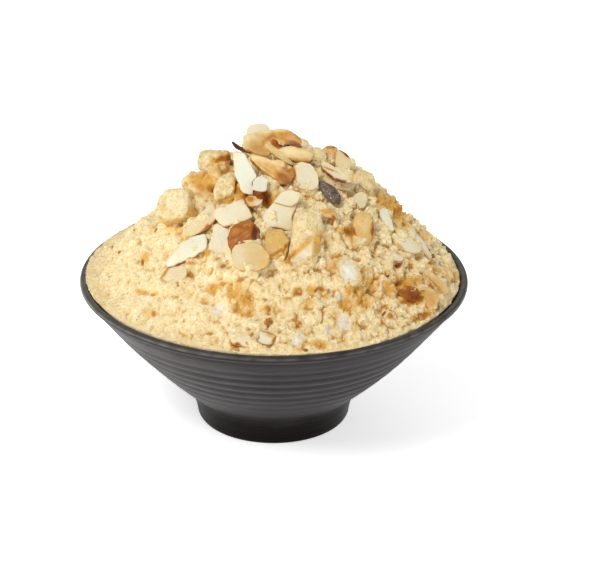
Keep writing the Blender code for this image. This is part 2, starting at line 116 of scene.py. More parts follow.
class Paint:
    """A material's tree while its colours and its fine relief are laid on."""

    def __init__(self, material: bpy.types.Material) -> None:
        """Starts at the material's own shader.

        Args:
            material: the material.
        """
        self.tree = material.node_tree
        self.shader = self.tree.nodes["Principled BSDF"]
        self.place = self.node("ShaderNodeTexCoord").outputs["Object"]

    def node(self, kind: str, settings: Settings = None, inputs: Inputs = None) -> bpy.types.Node:
        """Adds a node to this tree; see add."""
        return add(self.tree, kind, settings, inputs)

    def read(self, name: str) -> Socket:
        """Reads one of the mesh's own values as a number."""
        return self.node("ShaderNodeAttribute", {"attribute_name": name}).outputs["Fac"]

    def blotches(self, across: float, low: float, high: float, place: Value | None = None) -> Socket:
        """Makes an uneven mask of soft blotches.

        Args:
            across: size of a blotch in metres.
            low: noise below this gives nothing.
            high: noise above this gives the whole.
            place: coordinates that the mask follows, if not the object's own.

        Returns:
            A value from nothing to one.
        """
        noisy: Inputs = {"Vector": place or self.place, "Scale": 1 / across, "Detail": 3.0}
        spread: Inputs = {"Value": self.node("ShaderNodeTexNoise", None, noisy).outputs["Fac"]}
        return self.node("ShaderNodeMapRange", CLAMP, spread | {"From Min": low, "From Max": high}).outputs[0]

    def streaks(self, stretch: float, across: float, low: float, high: float) -> Socket:
        """Makes a mask of streaks along the length of a nut or a seed.

        Args:
            stretch: how much slower it changes along the piece than across it.
            across: width of a streak in metres.
            low: noise below this gives nothing.
            high: noise above this gives the whole.

        Returns:
            A value from nothing to one.
        """
        grain = self.node("ShaderNodeAttribute", {"attribute_name": "grain"}).outputs["Vector"]
        long = self.node("ShaderNodeVectorMath", MULTIPLY, {0: grain, 1: (stretch, 1.0, 1.0)})
        return self.blotches(across, low, high, long)

    def lay(self, ground: str, coats: list[Coat]) -> None:
        """Lays coats of colour over a ground and gives them to the shader.

        Args:
            ground: the colour below.
            coats: for each coat, its mask, its colour and its strength.
        """
        shown: Value = linear(ground)
        for mask, code, strength in coats:
            share = self.node("ShaderNodeMath", MULTIPLY | {"use_clamp": True}, {0: mask, 1: strength})
            shown = self.node("ShaderNodeMix", {"data_type": "RGBA"}, {0: share, 6: shown, 7: linear(code)}).outputs[2]
        self.tree.links.new(shown, self.shader.inputs["Base Color"])

    def tone_mark_coats(self, tones: tuple[str, ...]) -> list[Coat]:
        """Coats for the patches of tone that are painted by place, mostly real browning and some painted shadow.

        Args:
            tones: the colour of each tone, in their order.

        Returns:
            Each patch's coat, the dark ones over a halo of the next lighter tone.
        """
        coats: list[Coat] = []
        for k, (tone, code) in enumerate(zip(Tone, tones)):
            mask: Value = self.read(tone.value)
            if tone in (Tone.BROWN, Tone.DARK):
                coats.append((mask, tones[k - 1], 1.5))
                mask = self.node("ShaderNodeMapRange", CLAMP, {"Value": mask, "From Min": 0.3, "From Max": 0.95})
            coats.append((mask, code, 0.95))
        return coats

    def roughen(self, mask: Socket, low: float, high: float) -> None:
        """Spreads the shader's roughness over a mask.

        Args:
            mask: where it is rougher or smoother.
            low: roughness where the mask is nothing.
            high: roughness where the mask is whole.
        """
        spread = self.node("ShaderNodeMapRange", CLAMP, {"Value": mask, "To Min": low, "To Max": high})
        self.tree.links.new(spread.outputs[0], self.shader.inputs["Roughness"])

    def relief(self, heights: list[tuple[Value, float]]) -> None:
        """Adds fine relief from several height fields.

        Args:
            heights: each field with its depth in metres.
        """
        below: Inputs = {}
        for height, depth in heights:
            bump = self.node("ShaderNodeBump", None, {"Height": height, "Distance": depth, "Strength": 1.0} | below)
            below = {"Normal": bump}
        self.tree.links.new(below["Normal"].outputs[0], self.shader.inputs["Normal"])


@dataclass(frozen=True)
class Finish:
    """What a surface is made of: its name and how it takes the light."""

    name: str
    roughness: float = 0.6
    ior: float = 1.45
    gloss: float = 0.5
    glow: float = 0.0
    glow_depth: float = 1.5 * MM
    tones: tuple[str, str, str, str] = ("#F2EAD2", "#CC8F3C", "#924C18", "#421807")

    def material(self) -> bpy.types.Material:
        """Makes the material, or gives back the one that was made before.

        Returns:
            The material with its whole node tree.
        """
        found = bpy.data.materials.get(self.name)
        if found:
            return found
        made = bpy.data.materials.new(self.name)
        made.use_nodes = True
        on = Paint(made)
        for label, value in (
            ("Roughness", self.roughness),
            ("IOR", self.ior),
            ("Specular IOR Level", self.gloss),
            ("Subsurface Weight", self.glow),
            ("Subsurface Scale", self.glow_depth),
            ("Subsurface Radius", (1.0, 0.7, 0.4)),
        ):
            on.shader.inputs[label].default_value = value
        self.paint(on)
        return made

    def paint(self, on: Paint) -> None:
        """Adds the colours and the fine relief to the shader.

        Args:
            on: the material's tree.
        """
        raise NotImplementedError


@dataclass(frozen=True)
class SoybeanPowder(Finish):
    """Roasted soybean flour, sieved over shaved ice: dry, matt and clumped.

    Its grains scatter the light, so the heap is bright and creamy, with painted shade in its pits and hollows,
    honey-coloured where deepest. Where syrup has soaked in it turns golden and shines a little, and bare ice shows
    nearly white.
    """

    ground: str = "#F4DFAA"
    light: str = "#F9ECCB"
    # shade also serves as painted shade in pits and hollows, and hollow is the painted shade of the deepest hollows
    shade: str = "#D9AE62"
    hollow: str = "#BC8235"
    fleck: str = "#94803F"
    golden: str = "#E5B04F"
    amber: str = "#CB9035"
    ice: str = "#E2DDD0"
    grain: float = 0.9 * MM
    crumb: float = 1.3 * MM
    clump: float = 4 * MM
    patch: float = 18 * MM
    fleck_gap: float = 2.6 * MM
    soaked_roughness: float = 0.42

    def paint(self, on: Paint) -> None:
        """Paints patches, clumps, husk flecks, the soaked and bare places, and painted shade in the pits and hollows.

        Args:
            on: the material's tree.
        """
        wet = on.read("wet")
        hollow = on.read("hollow")
        gaps: Inputs = {"Vector": on.place, "Scale": 1 / self.fleck_gap, "Randomness": 1.0}
        near: Inputs = {"Value": on.node("ShaderNodeTexVoronoi", {"feature": "F1"}, gaps).outputs["Distance"]}
        dots = on.node("ShaderNodeMapRange", CLAMP, near | {"From Min": 0.24, "From Max": 0.12})
        flecks = on.node("ShaderNodeMath", MULTIPLY, {0: dots, 1: on.blotches(9 * MM, 0.5, 0.62)})
        fine = on.blotches(self.grain, 0.36, 0.66)
        # pits: small low places of fine noise, painted in the shade colour and sunk a little by the relief
        pits = on.blotches(self.grain * 1.3, 0.47, 0.3)
        soaked = on.node("ShaderNodeMath", MULTIPLY, {0: wet, 1: on.blotches(2.2 * MM, 0.45, 0.62)})
        # sunken: the deepest hollows, which get the darker painted shade
        sunken = on.node("ShaderNodeMapRange", CLAMP, {"Value": hollow, "From Min": 0.5})
        coats: list[Coat] = [
            (on.blotches(self.patch, 0.45, 0.7), self.shade, 0.3),
            (on.blotches(self.clump, 0.5, 0.68), self.light, 0.75),
            (on.blotches(self.clump * 0.6, 0.55, 0.72), self.shade, 0.35),
            (fine, self.light, 0.35),
            (on.read("tan"), self.shade, 0.9),
            (wet, self.golden, 0.9),
            (soaked, self.amber, 0.7),
            # painted shade in the small pits
            (pits, self.shade, 0.55),
            (flecks, self.fleck, 0.8),
            # painted shade in the hollows between clumps, darkest where they are deepest
            (hollow, self.shade, 0.8),
            (sunken, self.hollow, 0.85),
            (on.read("bare"), self.ice, 0.8),
        ]
        on.lay(self.ground, coats + on.tone_mark_coats(self.tones))
        on.roughen(wet, self.roughness, self.soaked_roughness)
        crumb = on.node("ShaderNodeTexNoise", None, {"Vector": on.place, "Scale": 1 / self.crumb, "Detail": 4.0})
        smooth: Inputs = {"Value": on.read(Tone.PALE.value), "To Min": 1.0, "To Max": 0.15}
        rough = on.node("ShaderNodeMapRange", CLAMP, smooth)
        heights = ((crumb.outputs["Fac"], 0.8 * MM), (fine, 0.18 * MM), (pits, -0.12 * MM))
        on.relief([(on.node("ShaderNodeMath", MULTIPLY, {0: field, 1: rough}), depth) for field, depth in heights])


@dataclass(frozen=True)
class Almond(Finish):
    """Almond flesh, sliced or whole, pale inside and toasted outwards, with brown skin left on some edges.

    The flesh is dense and slightly oily, so it has a soft sheen; the cut faces show faint veins along their
    length.
    """

    flesh: str = "#ECE4C9"
    cream: str = "#E0C587"
    golden: str = "#DFA452"
    brown: str = "#B0652A"
    skin: str = "#84401B"
    powder: str = "#F3DFA8"
    vein: float = 0.9 * MM

    def paint(self, on: Paint) -> None:
        """Paints the veined flesh, its toasted side with the painted shade in it, its skin and the powder on it.

        Args:
            on: the material's tree.
        """
        veins = on.streaks(0.16, self.vein, 0.42, 0.7)
        patches = on.blotches(3.5 * MM, 0.3, 0.7)
        uneven = on.node("ShaderNodeMath", {"operation": "MULTIPLY_ADD"}, {0: patches, 1: 0.4, 2: -0.2})
        # toast, with the painted shade of a toasted side, browns the flesh to golden and then brown
        toasted: Inputs = {0: on.read("toast"), 1: uneven}
        browned = on.node("ShaderNodeMath", {"operation": "ADD", "use_clamp": True}, toasted)
        deep = on.node("ShaderNodeMapRange", CLAMP, {"Value": browned, "From Min": 0.5})
        dust = on.node("ShaderNodeMath", MULTIPLY, {0: on.read("dust"), 1: on.blotches(1.2 * MM, 0.3, 0.55)})
        coats: list[Coat] = [
            (on.read("tan"), self.cream, 1.0),
            (veins, self.cream, 0.14),
            (browned, self.golden, 0.9),
            (deep, self.brown, 0.95),
            (on.read("skin"), self.skin, 1.0),
        ]
        on.lay(self.flesh, coats + on.tone_mark_coats(self.tones) + [(dust, self.powder, 0.9)])
        fine = on.node("ShaderNodeTexNoise", None, {"Vector": on.place, "Scale": 1 / (1.1 * MM), "Detail": 3.0})
        on.relief([(veins, 0.05 * MM), (fine.outputs["Fac"], 0.12 * MM)])


@dataclass(frozen=True)
class AlmondSkin(Finish):
    """Brown papery skin of a whole almond: fine wrinkles along the nut, warm and slightly glossy."""

    ground: str = "#A8631C"
    light: str = "#C38333"
    dark: str = "#753B10"
    plum: str = "#45261F"
    powder: str = "#EBCF94"

    def paint(self, on: Paint) -> None:
        """Paints wrinkled skin that turns plum brown at one end.

        Args:
            on: the material's tree.
        """
        wrinkles = on.streaks(0.2, 1.4 * MM, 0.35, 0.65)
        dust = on.node("ShaderNodeMath", MULTIPLY, {0: on.read("dust"), 1: on.blotches(1.0 * MM, 0.45, 0.6)})
        coats: list[Coat] = [
            (on.blotches(4 * MM, 0.45, 0.7), self.light, 0.7),
            (wrinkles, self.dark, 0.5),
            (on.read("skin"), self.plum, 0.95),
        ]
        on.lay(self.ground, coats + on.tone_mark_coats(self.tones) + [(dust, self.powder, 0.7)])
        on.relief([(wrinkles, 0.15 * MM)])


@dataclass(frozen=True)
class PumpkinHusk(Finish):
    """Dark toasted pumpkin seed: a thin striated husk with a frosting of powder caught in its grooves."""

    ground: str = "#5B4A41"
    light: str = "#8A7768"
    dark: str = "#33251E"
    powder: str = "#C9B48A"

    def paint(self, on: Paint) -> None:
        """Paints long striations and the powder between them.

        Args:
            on: the material's tree.
        """
        lines = on.streaks(0.12, 0.8 * MM, 0.35, 0.65)
        coats: list[Coat] = [
            (lines, self.light, 0.65),
            (on.blotches(3 * MM, 0.5, 0.7), self.dark, 0.7),
            (on.blotches(0.8 * MM, 0.6, 0.68), self.powder, 0.5),
            (on.read("skin"), self.dark, 0.6),
        ]
        on.lay(self.ground, coats)
        on.relief([(lines, 0.14 * MM)])


@dataclass(frozen=True)
class Stoneware(Finish):
    """Dark iron glaze on wheel-thrown stoneware: satin, with throwing lines round it.

    The ribs' crests get a painted highlight and their grooves painted shade, the glaze wears to the grey clay along the
    rim's edge under a painted highlight line, the left side gets painted light, and it pools brown-black round the
    foot.
    """

    ground: str = "#272324"
    # Over the wall the crest colour is also a painted highlight on the rib crests, the groove colour painted shade in
    # the grooves and under the lip, the grey-clay colour wear with a painted highlight along the lip, and #6E6A66
    # painted light down the left side.
    crest: str = "#443F43"
    groove: str = "#1A1817"
    foot: str = "#0B0502"
    wear_and_highlight: str = "#8C8780"
    painted_left_light: str = "#6E6A66"
    iron: str = "#262220"
    line: float = 0.7 * MM
    band: float = 4 * MM
    foot_height: float = 17 * MM

    def paint(self, on: Paint) -> None:
        """Paints the brushed glaze, painted highlight on its crests and shade in its grooves, the worn rim with its
        painted highlight, painted light down the left and the dark foot.

        Args:
            on: the material's tree.
        """
        turned = on.node("ShaderNodeVectorMath", MULTIPLY, {0: on.place, 1: (0.05, 0.05, 1.0)})
        lines = on.blotches(self.line, 0.35, 0.7, turned)
        bands = on.blotches(self.band, 0.4, 0.65, turned)
        height = on.node("ShaderNodeSeparateXYZ", None, {0: on.place}).outputs["Z"]
        cloud = on.blotches(14 * MM, 0.4, 0.65)
        uneven = on.node("ShaderNodeMath", {"operation": "MULTIPLY_ADD"}, {0: cloud, 1: 5 * MM, 2: height})
        low: Inputs = {"Value": uneven, "From Min": self.foot_height + 8 * MM, "From Max": self.foot_height - 3 * MM}
        specks = on.blotches(0.8 * MM, 0.66, 0.72)
        coats: list[Coat] = [
            (bands, self.iron, 0.35),
            (lines, self.crest, 0.35),
            # painted light down the left side
            (on.read("painted_left_light"), self.painted_left_light, 0.7),
            # painted highlight on the rib crests, then painted shade in the grooves
            (on.read("crest"), self.crest, 0.5),
            (on.read("groove"), self.groove, 0.5),
            (cloud, self.groove, 0.3),
            (specks, self.crest, 0.4),
            (on.node("ShaderNodeMapRange", CLAMP, low), self.foot, 1.0),
            # the lip worn to grey clay, with a painted highlight along it
            (on.read("wear_and_highlight"), self.wear_and_highlight, 0.9),
        ]
        on.lay(self.ground, coats)
        on.roughen(lines, self.roughness, self.roughness + 0.14)
        on.relief([(lines, 0.06 * MM), (bands, 0.1 * MM), (specks, 0.04 * MM)])


@dataclass(frozen=True)
class StudioCard(Finish):
    """White card under the bowl: plain, pale and matt, with the faintest mottle of paper."""

    ground: str = "#FCFCFC"
    mottle: str = "#F4F4F4"

    def paint(self, on: Paint) -> None:
        """Paints the card nearly even."""
        on.lay(self.ground, [(on.blotches(0.2, 0.4, 0.6), self.mottle, 0.3)])


DUSTED = ("#DBD6C8", "#DBA445", "#A35E1E", "#682A0E")
POWDER = SoybeanPowder("roasted_soybean_flour", roughness=0.95, gloss=0.25, glow=0.15, tones=DUSTED)
CAKE_POWDER = SoybeanPowder(
    "floured_rice_cake",
    roughness=0.9,
    gloss=0.25,
    glow=0.15,
    tones=DUSTED,
    ground="#EAD7A2",
    shade="#CBA458",
    fleck="#8F7A4A",
)
SLICED = Almond(
    "sliced_almond_flesh",
    roughness=0.5,
    gloss=0.3,
    glow=0.08,
    glow_depth=1 * MM,
    tones=("#D5D4C0", "#C98F38", "#8E4A14", "#451807"),
    flesh="#E3DBBF",
    cream="#C9AF72",
)
TOASTED = Almond(
    "toasted_almond_flesh",
    tones=("#F3DFA6", "#CB9036", "#8C4B12", "#45190A"),
    roughness=0.4,
    gloss=0.4,
    flesh="#E6D09A",
    cream="#CDA763",
    golden="#C48C3A",
    brown="#8A4A12",
    skin="#521F0B",
)
SKIN = AlmondSkin("almond_skin_brown", roughness=0.45, gloss=0.3)
HUSK = PumpkinHusk("pumpkin_seed_husk", roughness=0.55, gloss=0.3)
GLAZE = Stoneware("iron_glaze_stoneware", roughness=0.36, ior=1.5, gloss=0.08)
CARD = StudioCard("white_card", roughness=0.9)


@dataclass(frozen=True)
class Lens:
    """The photograph's frame and the camera that took it."""

    width: int = 600
    height: int = 577
    focal: float = 1733.5
    rim_across: float = 274.36
    rim_down: float = 271.0
    roll: float = math.radians(0.39)
    elevation: float = math.radians(24.1)
    distance: float = 0.9
    rim_height: float = 80 * MM
    sensor: float = 36.0

    @property
    def look(self) -> Vector:
        """Direction from the camera to the rim's centre."""
        return Vector((0, math.cos(self.elevation), -math.sin(self.elevation)))

    @property
    def up(self) -> Vector:
        """Direction that is up in the picture."""
        return Vector((0, math.sin(self.elevation), math.cos(self.elevation)))

    @property
    def eye(self) -> Vector:
        """Where the camera stands."""
        return Vector((0, 0, self.rim_height)) - self.look * self.distance

    def ray(self, across: float, down: float) -> Vector:
        """Direction in which a pixel of the photograph looks.

        Args:
            across: pixels from the left edge.
            down: pixels from the top edge.

        Returns:
            A unit vector.
        """
        turn = Matrix.Rotation(-self.roll, 2)
        side, fall = turn @ Vector((across - self.rim_across, down - self.rim_down))
        return (self.look * self.focal + Vector((side, 0, 0)) - self.up * fall).normalized()

    def pixels(self, points: np.ndarray) -> np.ndarray:
        """Finds where places show in the photograph.

        Args:
            points: one row of three for each place.

        Returns:
            Pixels across and down, one row for each place.
        """
        away = points - np.array(self.eye)
        far = away @ np.array(self.look)
        seen = np.stack([away[:, 0] / far, -(away @ np.array(self.up)) / far], 1) * self.focal
        turn = np.array(Matrix.Rotation(self.roll, 2))
        return seen @ turn.T + (self.rim_across, self.rim_down)

    def place(self) -> bpy.types.Object:
        """Sets the camera up with no shift, turned so that the rim lies where the photograph has it.

        Returns:
            The camera.
        """
        data = bpy.data.cameras.new("camera")
        data.sensor_width = self.sensor
        data.lens = self.focal * self.sensor / self.width
        camera = linked("camera", data)
        forward = self.ray(self.width / 2, self.height / 2)
        above = self.ray(self.width / 2, self.height / 2 - 50) - forward
        side = forward.cross(above).normalized()
        axes = Matrix((side, side.cross(forward), -forward)).transposed().to_4x4()
        camera.matrix_world = Matrix.Translation(self.eye) @ axes
        bpy.context.scene.camera = camera
        return camera


LENS = Lens()


@dataclass(frozen=True)
class Spot:
    """A place seen in the photograph: pixels across and down, and its reach in pixels."""

    across: float
    down: float
    reach: float


@dataclass(frozen=True)
class ToneMark:
    """A patch of another tone, placed by the photograph's pixels: its middle, half width and half height. Most are real
    browning, skin, syrup and bare places; some brown and dark ones are painted shadow and some pale ones painted
    highlight.

    turn is in degrees and lifts its right end.
    """

    tone: Tone
    across: float
    down: float
    wide: float
    tall: float
    turn: float = 0.0
    strength: float = 1.0


def spots(*rows: tuple[float, float, float]) -> tuple[Spot, ...]:
    """Spots from their pixels across and down and their reach."""
    return tuple(Spot(*row) for row in rows)


def painted(**marks: tuple[tuple[float, ...], ...]) -> tuple[ToneMark, ...]:
    """Patches of each tone, mostly real browning and some painted shadow.

    Args:
        marks: under a tone's own name, each patch's pixels across and down, half width and half height, then
            its turn and its strength where it has them.

    Returns:
        The patches.
    """
    return tuple(ToneMark(Tone(tone), *mark) for tone, rows in marks.items() for mark in rows)


def linked(name: str, data: bpy.types.ID) -> bpy.types.Object:
    """Makes an object at the origin and puts it in the scene.

    Args:
        name: the object's name.
        data: its mesh, light or camera.

    Returns:
        The object.
    """
    made = bpy.data.objects.new(name, data)
    bpy.context.scene.collection.objects.link(made)
    return made


def mesh_object(name: str, points: np.ndarray, faces: list[tuple[int, ...]]) -> bpy.types.Object:
    """Makes a mesh object at the origin, smooth all over.

    Args:
        name: the object's name.
        points: its vertices, one row each.
        faces: the vertex numbers of each face.

    Returns:
        The linked object.
    """
    mesh = bpy.data.meshes.new(name)
    mesh.from_pydata([tuple(point) for point in points], [], faces)
    mesh.update()
    mesh.shade_smooth()
    return linked(name, mesh)


def mesh_from(work: bmesh.types.BMesh, name: str) -> bpy.types.Mesh:
    """Ends the work on a mesh and keeps it.

    Args:
        work: the mesh in work, which is freed.
        name: the kept mesh's name.

    Returns:
        The kept mesh.
    """
    mesh = bpy.data.meshes.new(name)
    work.to_mesh(mesh)
    work.free()
    return mesh


def evaluated(thing: bpy.types.Object) -> bpy.types.Mesh:
    """Turns a piece with its modifiers into plain smooth mesh, and takes the modifiers off.

    Args:
        thing: the piece.

    Returns:
        The plain mesh.
    """
    bpy.context.view_layer.update()
    mesh = bpy.data.meshes.new_from_object(thing.evaluated_get(bpy.context.evaluated_depsgraph_get()))
    thing.modifiers.clear()
    mesh.shade_smooth()
    return mesh


def grid(n: int) -> list[tuple[int, ...]]:
    """Faces of four over a square grid with n vertices to a side."""
    return [(a, a + 1, a + n + 1, a + n) for row in range(n - 1) for a in range(row * n, row * n + n - 1)]


def band(upper: list[int], lower: list[int], flip: bool = False) -> list[tuple[int, ...]]:
    """Faces between two closed rows of vertices.

    Args:
        upper: vertex numbers of one row.
        lower: as many of the other.
        flip: turns the faces over.

    Returns:
        One face of four for each vertex of a row.
    """
    faces = []
    for k, m in zip(range(len(upper)), [*range(1, len(upper)), 0]):
        a, b = (k, m) if flip else (m, k)
        faces.append((upper[a], upper[b], lower[b], lower[a]))
    return faces


def fan(row: list[int], centre: int, flip: bool = False) -> list[tuple[int, ...]]:
    """Faces that close a row of vertices to its centre.

    Args:
        row: vertex numbers of the row.
        centre: vertex number of the centre.
        flip: turns the faces over.

    Returns:
        One face of three for each vertex of the row.
    """
    return [(face[0], face[1], centre) for face in band(row, row, flip)]


def points_of(mesh: bpy.types.Mesh, normals: bool = False) -> np.ndarray:
    """Reads a mesh's vertices, or their normals.

    Args:
        mesh: the mesh.
        normals: reads the normals in place of the places.

    Returns:
        One row of three for each vertex.
    """
    rows = np.empty(len(mesh.vertices) * 3, np.float32)
    if normals:
        mesh.vertex_normals.foreach_get("vector", rows)
    else:
        mesh.vertices.foreach_get("co", rows)
    return rows.reshape(-1, 3).astype(float)


def store(mesh: bpy.types.Mesh, name: str, values: np.ndarray) -> None:
    """Keeps a value or a vector for each vertex.

    Args:
        mesh: the mesh.
        name: the attribute's name.
        values: one number, or one row of three, for each vertex.
    """
    kind, key = ("FLOAT", "value") if values.ndim == 1 else ("FLOAT_VECTOR", "vector")
    kept = mesh.attributes.new(name, kind, "POINT")
    kept.data.foreach_set(key, np.ascontiguousarray(values, np.float32).ravel())


def cloud(points: np.ndarray, across: float, seed: float = 0.0) -> np.ndarray:
    """Noise at each point.

    Args:
        points: one row of three for each point.
        across: size of the noise in metres.
        seed: moves the noise.

    Returns:
        Values about nothing, from -1 to 1.
    """
    shift = Vector((seed, 3.1 * seed, -seed))
    return np.array([noise.noise(Vector(point) / across + shift) for point in points])


def mark_tones(mesh: bpy.types.Mesh, tone_marks: tuple[ToneMark, ...], ragged: np.ndarray) -> None:
    """Marks patches of tone, mostly real browning and some painted shadow, on the side of a mesh that the photograph
    shows.

    Args:
        mesh: the mesh.
        tone_marks: its patches of tone, some of them painted shadow.
        ragged: noise for each vertex, which makes their borders uneven.
    """
    if not tone_marks:
        return
    pixels = LENS.pixels(points_of(mesh))
    facing = np.clip(0.7 - 4 * points_of(mesh, normals=True) @ np.array(LENS.look), 0, 1)
    for tone in Tone:
        value = np.zeros(len(pixels))
        for one in (each for each in tone_marks if each.tone is tone):
            turn = math.radians(one.turn)
            off = pixels - (one.across, one.down)
            along = (off[:, 0] * math.cos(turn) - off[:, 1] * math.sin(turn)) / one.wide
            over = (off[:, 0] * math.sin(turn) + off[:, 1] * math.cos(turn)) / one.tall
            value = np.maximum(value, one.strength * np.clip((1.4 - np.hypot(along, over) + 0.4 * ragged) / 0.9, 0, 1))
        store(mesh, tone.value, value * facing)


def finished(
    thing: bpy.types.Object, finish: Finish, nodes: tuple[str, ...] = ()
) -> bpy.types.Object:
    """Dresses a piece, sets it on the body and hides the solids that it stands for.

    Args:
        thing: the piece.
        finish: its surface.
        nodes: the solids that it replaces.

    Returns:
        The piece.
    """
    thing.data.materials.clear()
    thing.data.materials.append(finish.material())
    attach(thing, "root")
    if nodes:
        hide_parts(*nodes)
    thing.data.calc_loop_triangles()
    LOG.info("%s: %d triangles", thing.name, len(thing.data.loop_triangles))
    return thing


class Growth:
    """A Geometry Nodes tree with named inputs, grown once on a piece and turned into plain mesh."""

    def __init__(self, name: str) -> None:
        """Starts the tree with a way in and a way out.

        Args:
            name: the tree's name.
        """
        self.tree = bpy.data.node_groups.new(name, "GeometryNodeTree")
        self.tree.interface.new_socket("Geometry", in_out="INPUT", socket_type="NodeSocketGeometry")
        self.tree.interface.new_socket("Geometry", in_out="OUTPUT", socket_type="NodeSocketGeometry")
        self.source = self.tree.nodes.new("NodeGroupInput")
        self.target = self.tree.nodes.new("NodeGroupOutput")
        self.values: dict[str, float] = {}

    def given(self, label: str, value: float) -> Socket:
        """Adds a named input.

        Args:
            label: the input's name.
            value: what it is set to.

        Returns:
            The socket that carries it in the tree.
        """
        socket = self.tree.interface.new_socket(label, in_out="INPUT", socket_type="NodeSocketFloat")
        self.values[socket.identifier] = value
        return self.source.outputs[label]

    def node(self, kind: str, settings: Settings = None, inputs: Inputs = None) -> bpy.types.Node:
        """Adds a node to this tree; see add."""
        return add(self.tree, kind, settings, inputs)

    def noted(self, ground: Value, name: str, value: Value) -> bpy.types.Node:
        """Keeps a value under a name for each point of a geometry in the tree."""
        keep: Inputs = {"Geometry": ground, "Name": name, "Value": value}
        return self.node("GeometryNodeStoreNamedAttribute", {"data_type": "FLOAT", "domain": "POINT"}, keep)

    def scaled(self, vector: Value, share: Value) -> Socket:
        """Scales a vector in the tree."""
        return self.node("ShaderNodeVectorMath", SCALE, {0: vector, "Scale": share}).outputs[0]

    def sum_of(self, operation: str, *terms: Value) -> Socket:
        """Works terms out one after the other, such as ADD or MULTIPLY."""
        total = terms[0]
        for term in terms[1:]:
            total = self.node("ShaderNodeMath", {"operation": operation}, {0: total, 1: term}).outputs[0]
        return total

    def read(self, name: str) -> Socket:
        """Reads one of the mesh's own values in the tree."""
        return self.node("GeometryNodeInputNamedAttribute", {"data_type": "FLOAT"}, {"Name": name}).outputs[0]

    def grow(self, thing: bpy.types.Object, end: Value, finish: Finish, name: str) -> bpy.types.Object:
        """Ends the tree, runs it on a piece and keeps the result as a piece of its own.

        Args:
            thing: the piece that it grows on, which stays as it is.
            end: the geometry to keep.
            finish: the material that is set on it.
            name: the new piece's name.

        Returns:
            A plain mesh object at the origin.
        """
        real = self.node("GeometryNodeRealizeInstances", None, {"Geometry": end})
        dressed = self.node("GeometryNodeSetMaterial", None, {"Geometry": real, "Material": finish.material()})
        self.tree.links.new(dressed.outputs[0], self.target.inputs[0])
        modifier = thing.modifiers.new(name, "NODES")
        modifier.node_group = self.tree
        for identifier, value in self.values.items():
            modifier[identifier] = value
        mesh = evaluated(thing)
        mesh.name = name
        return linked(name, mesh)


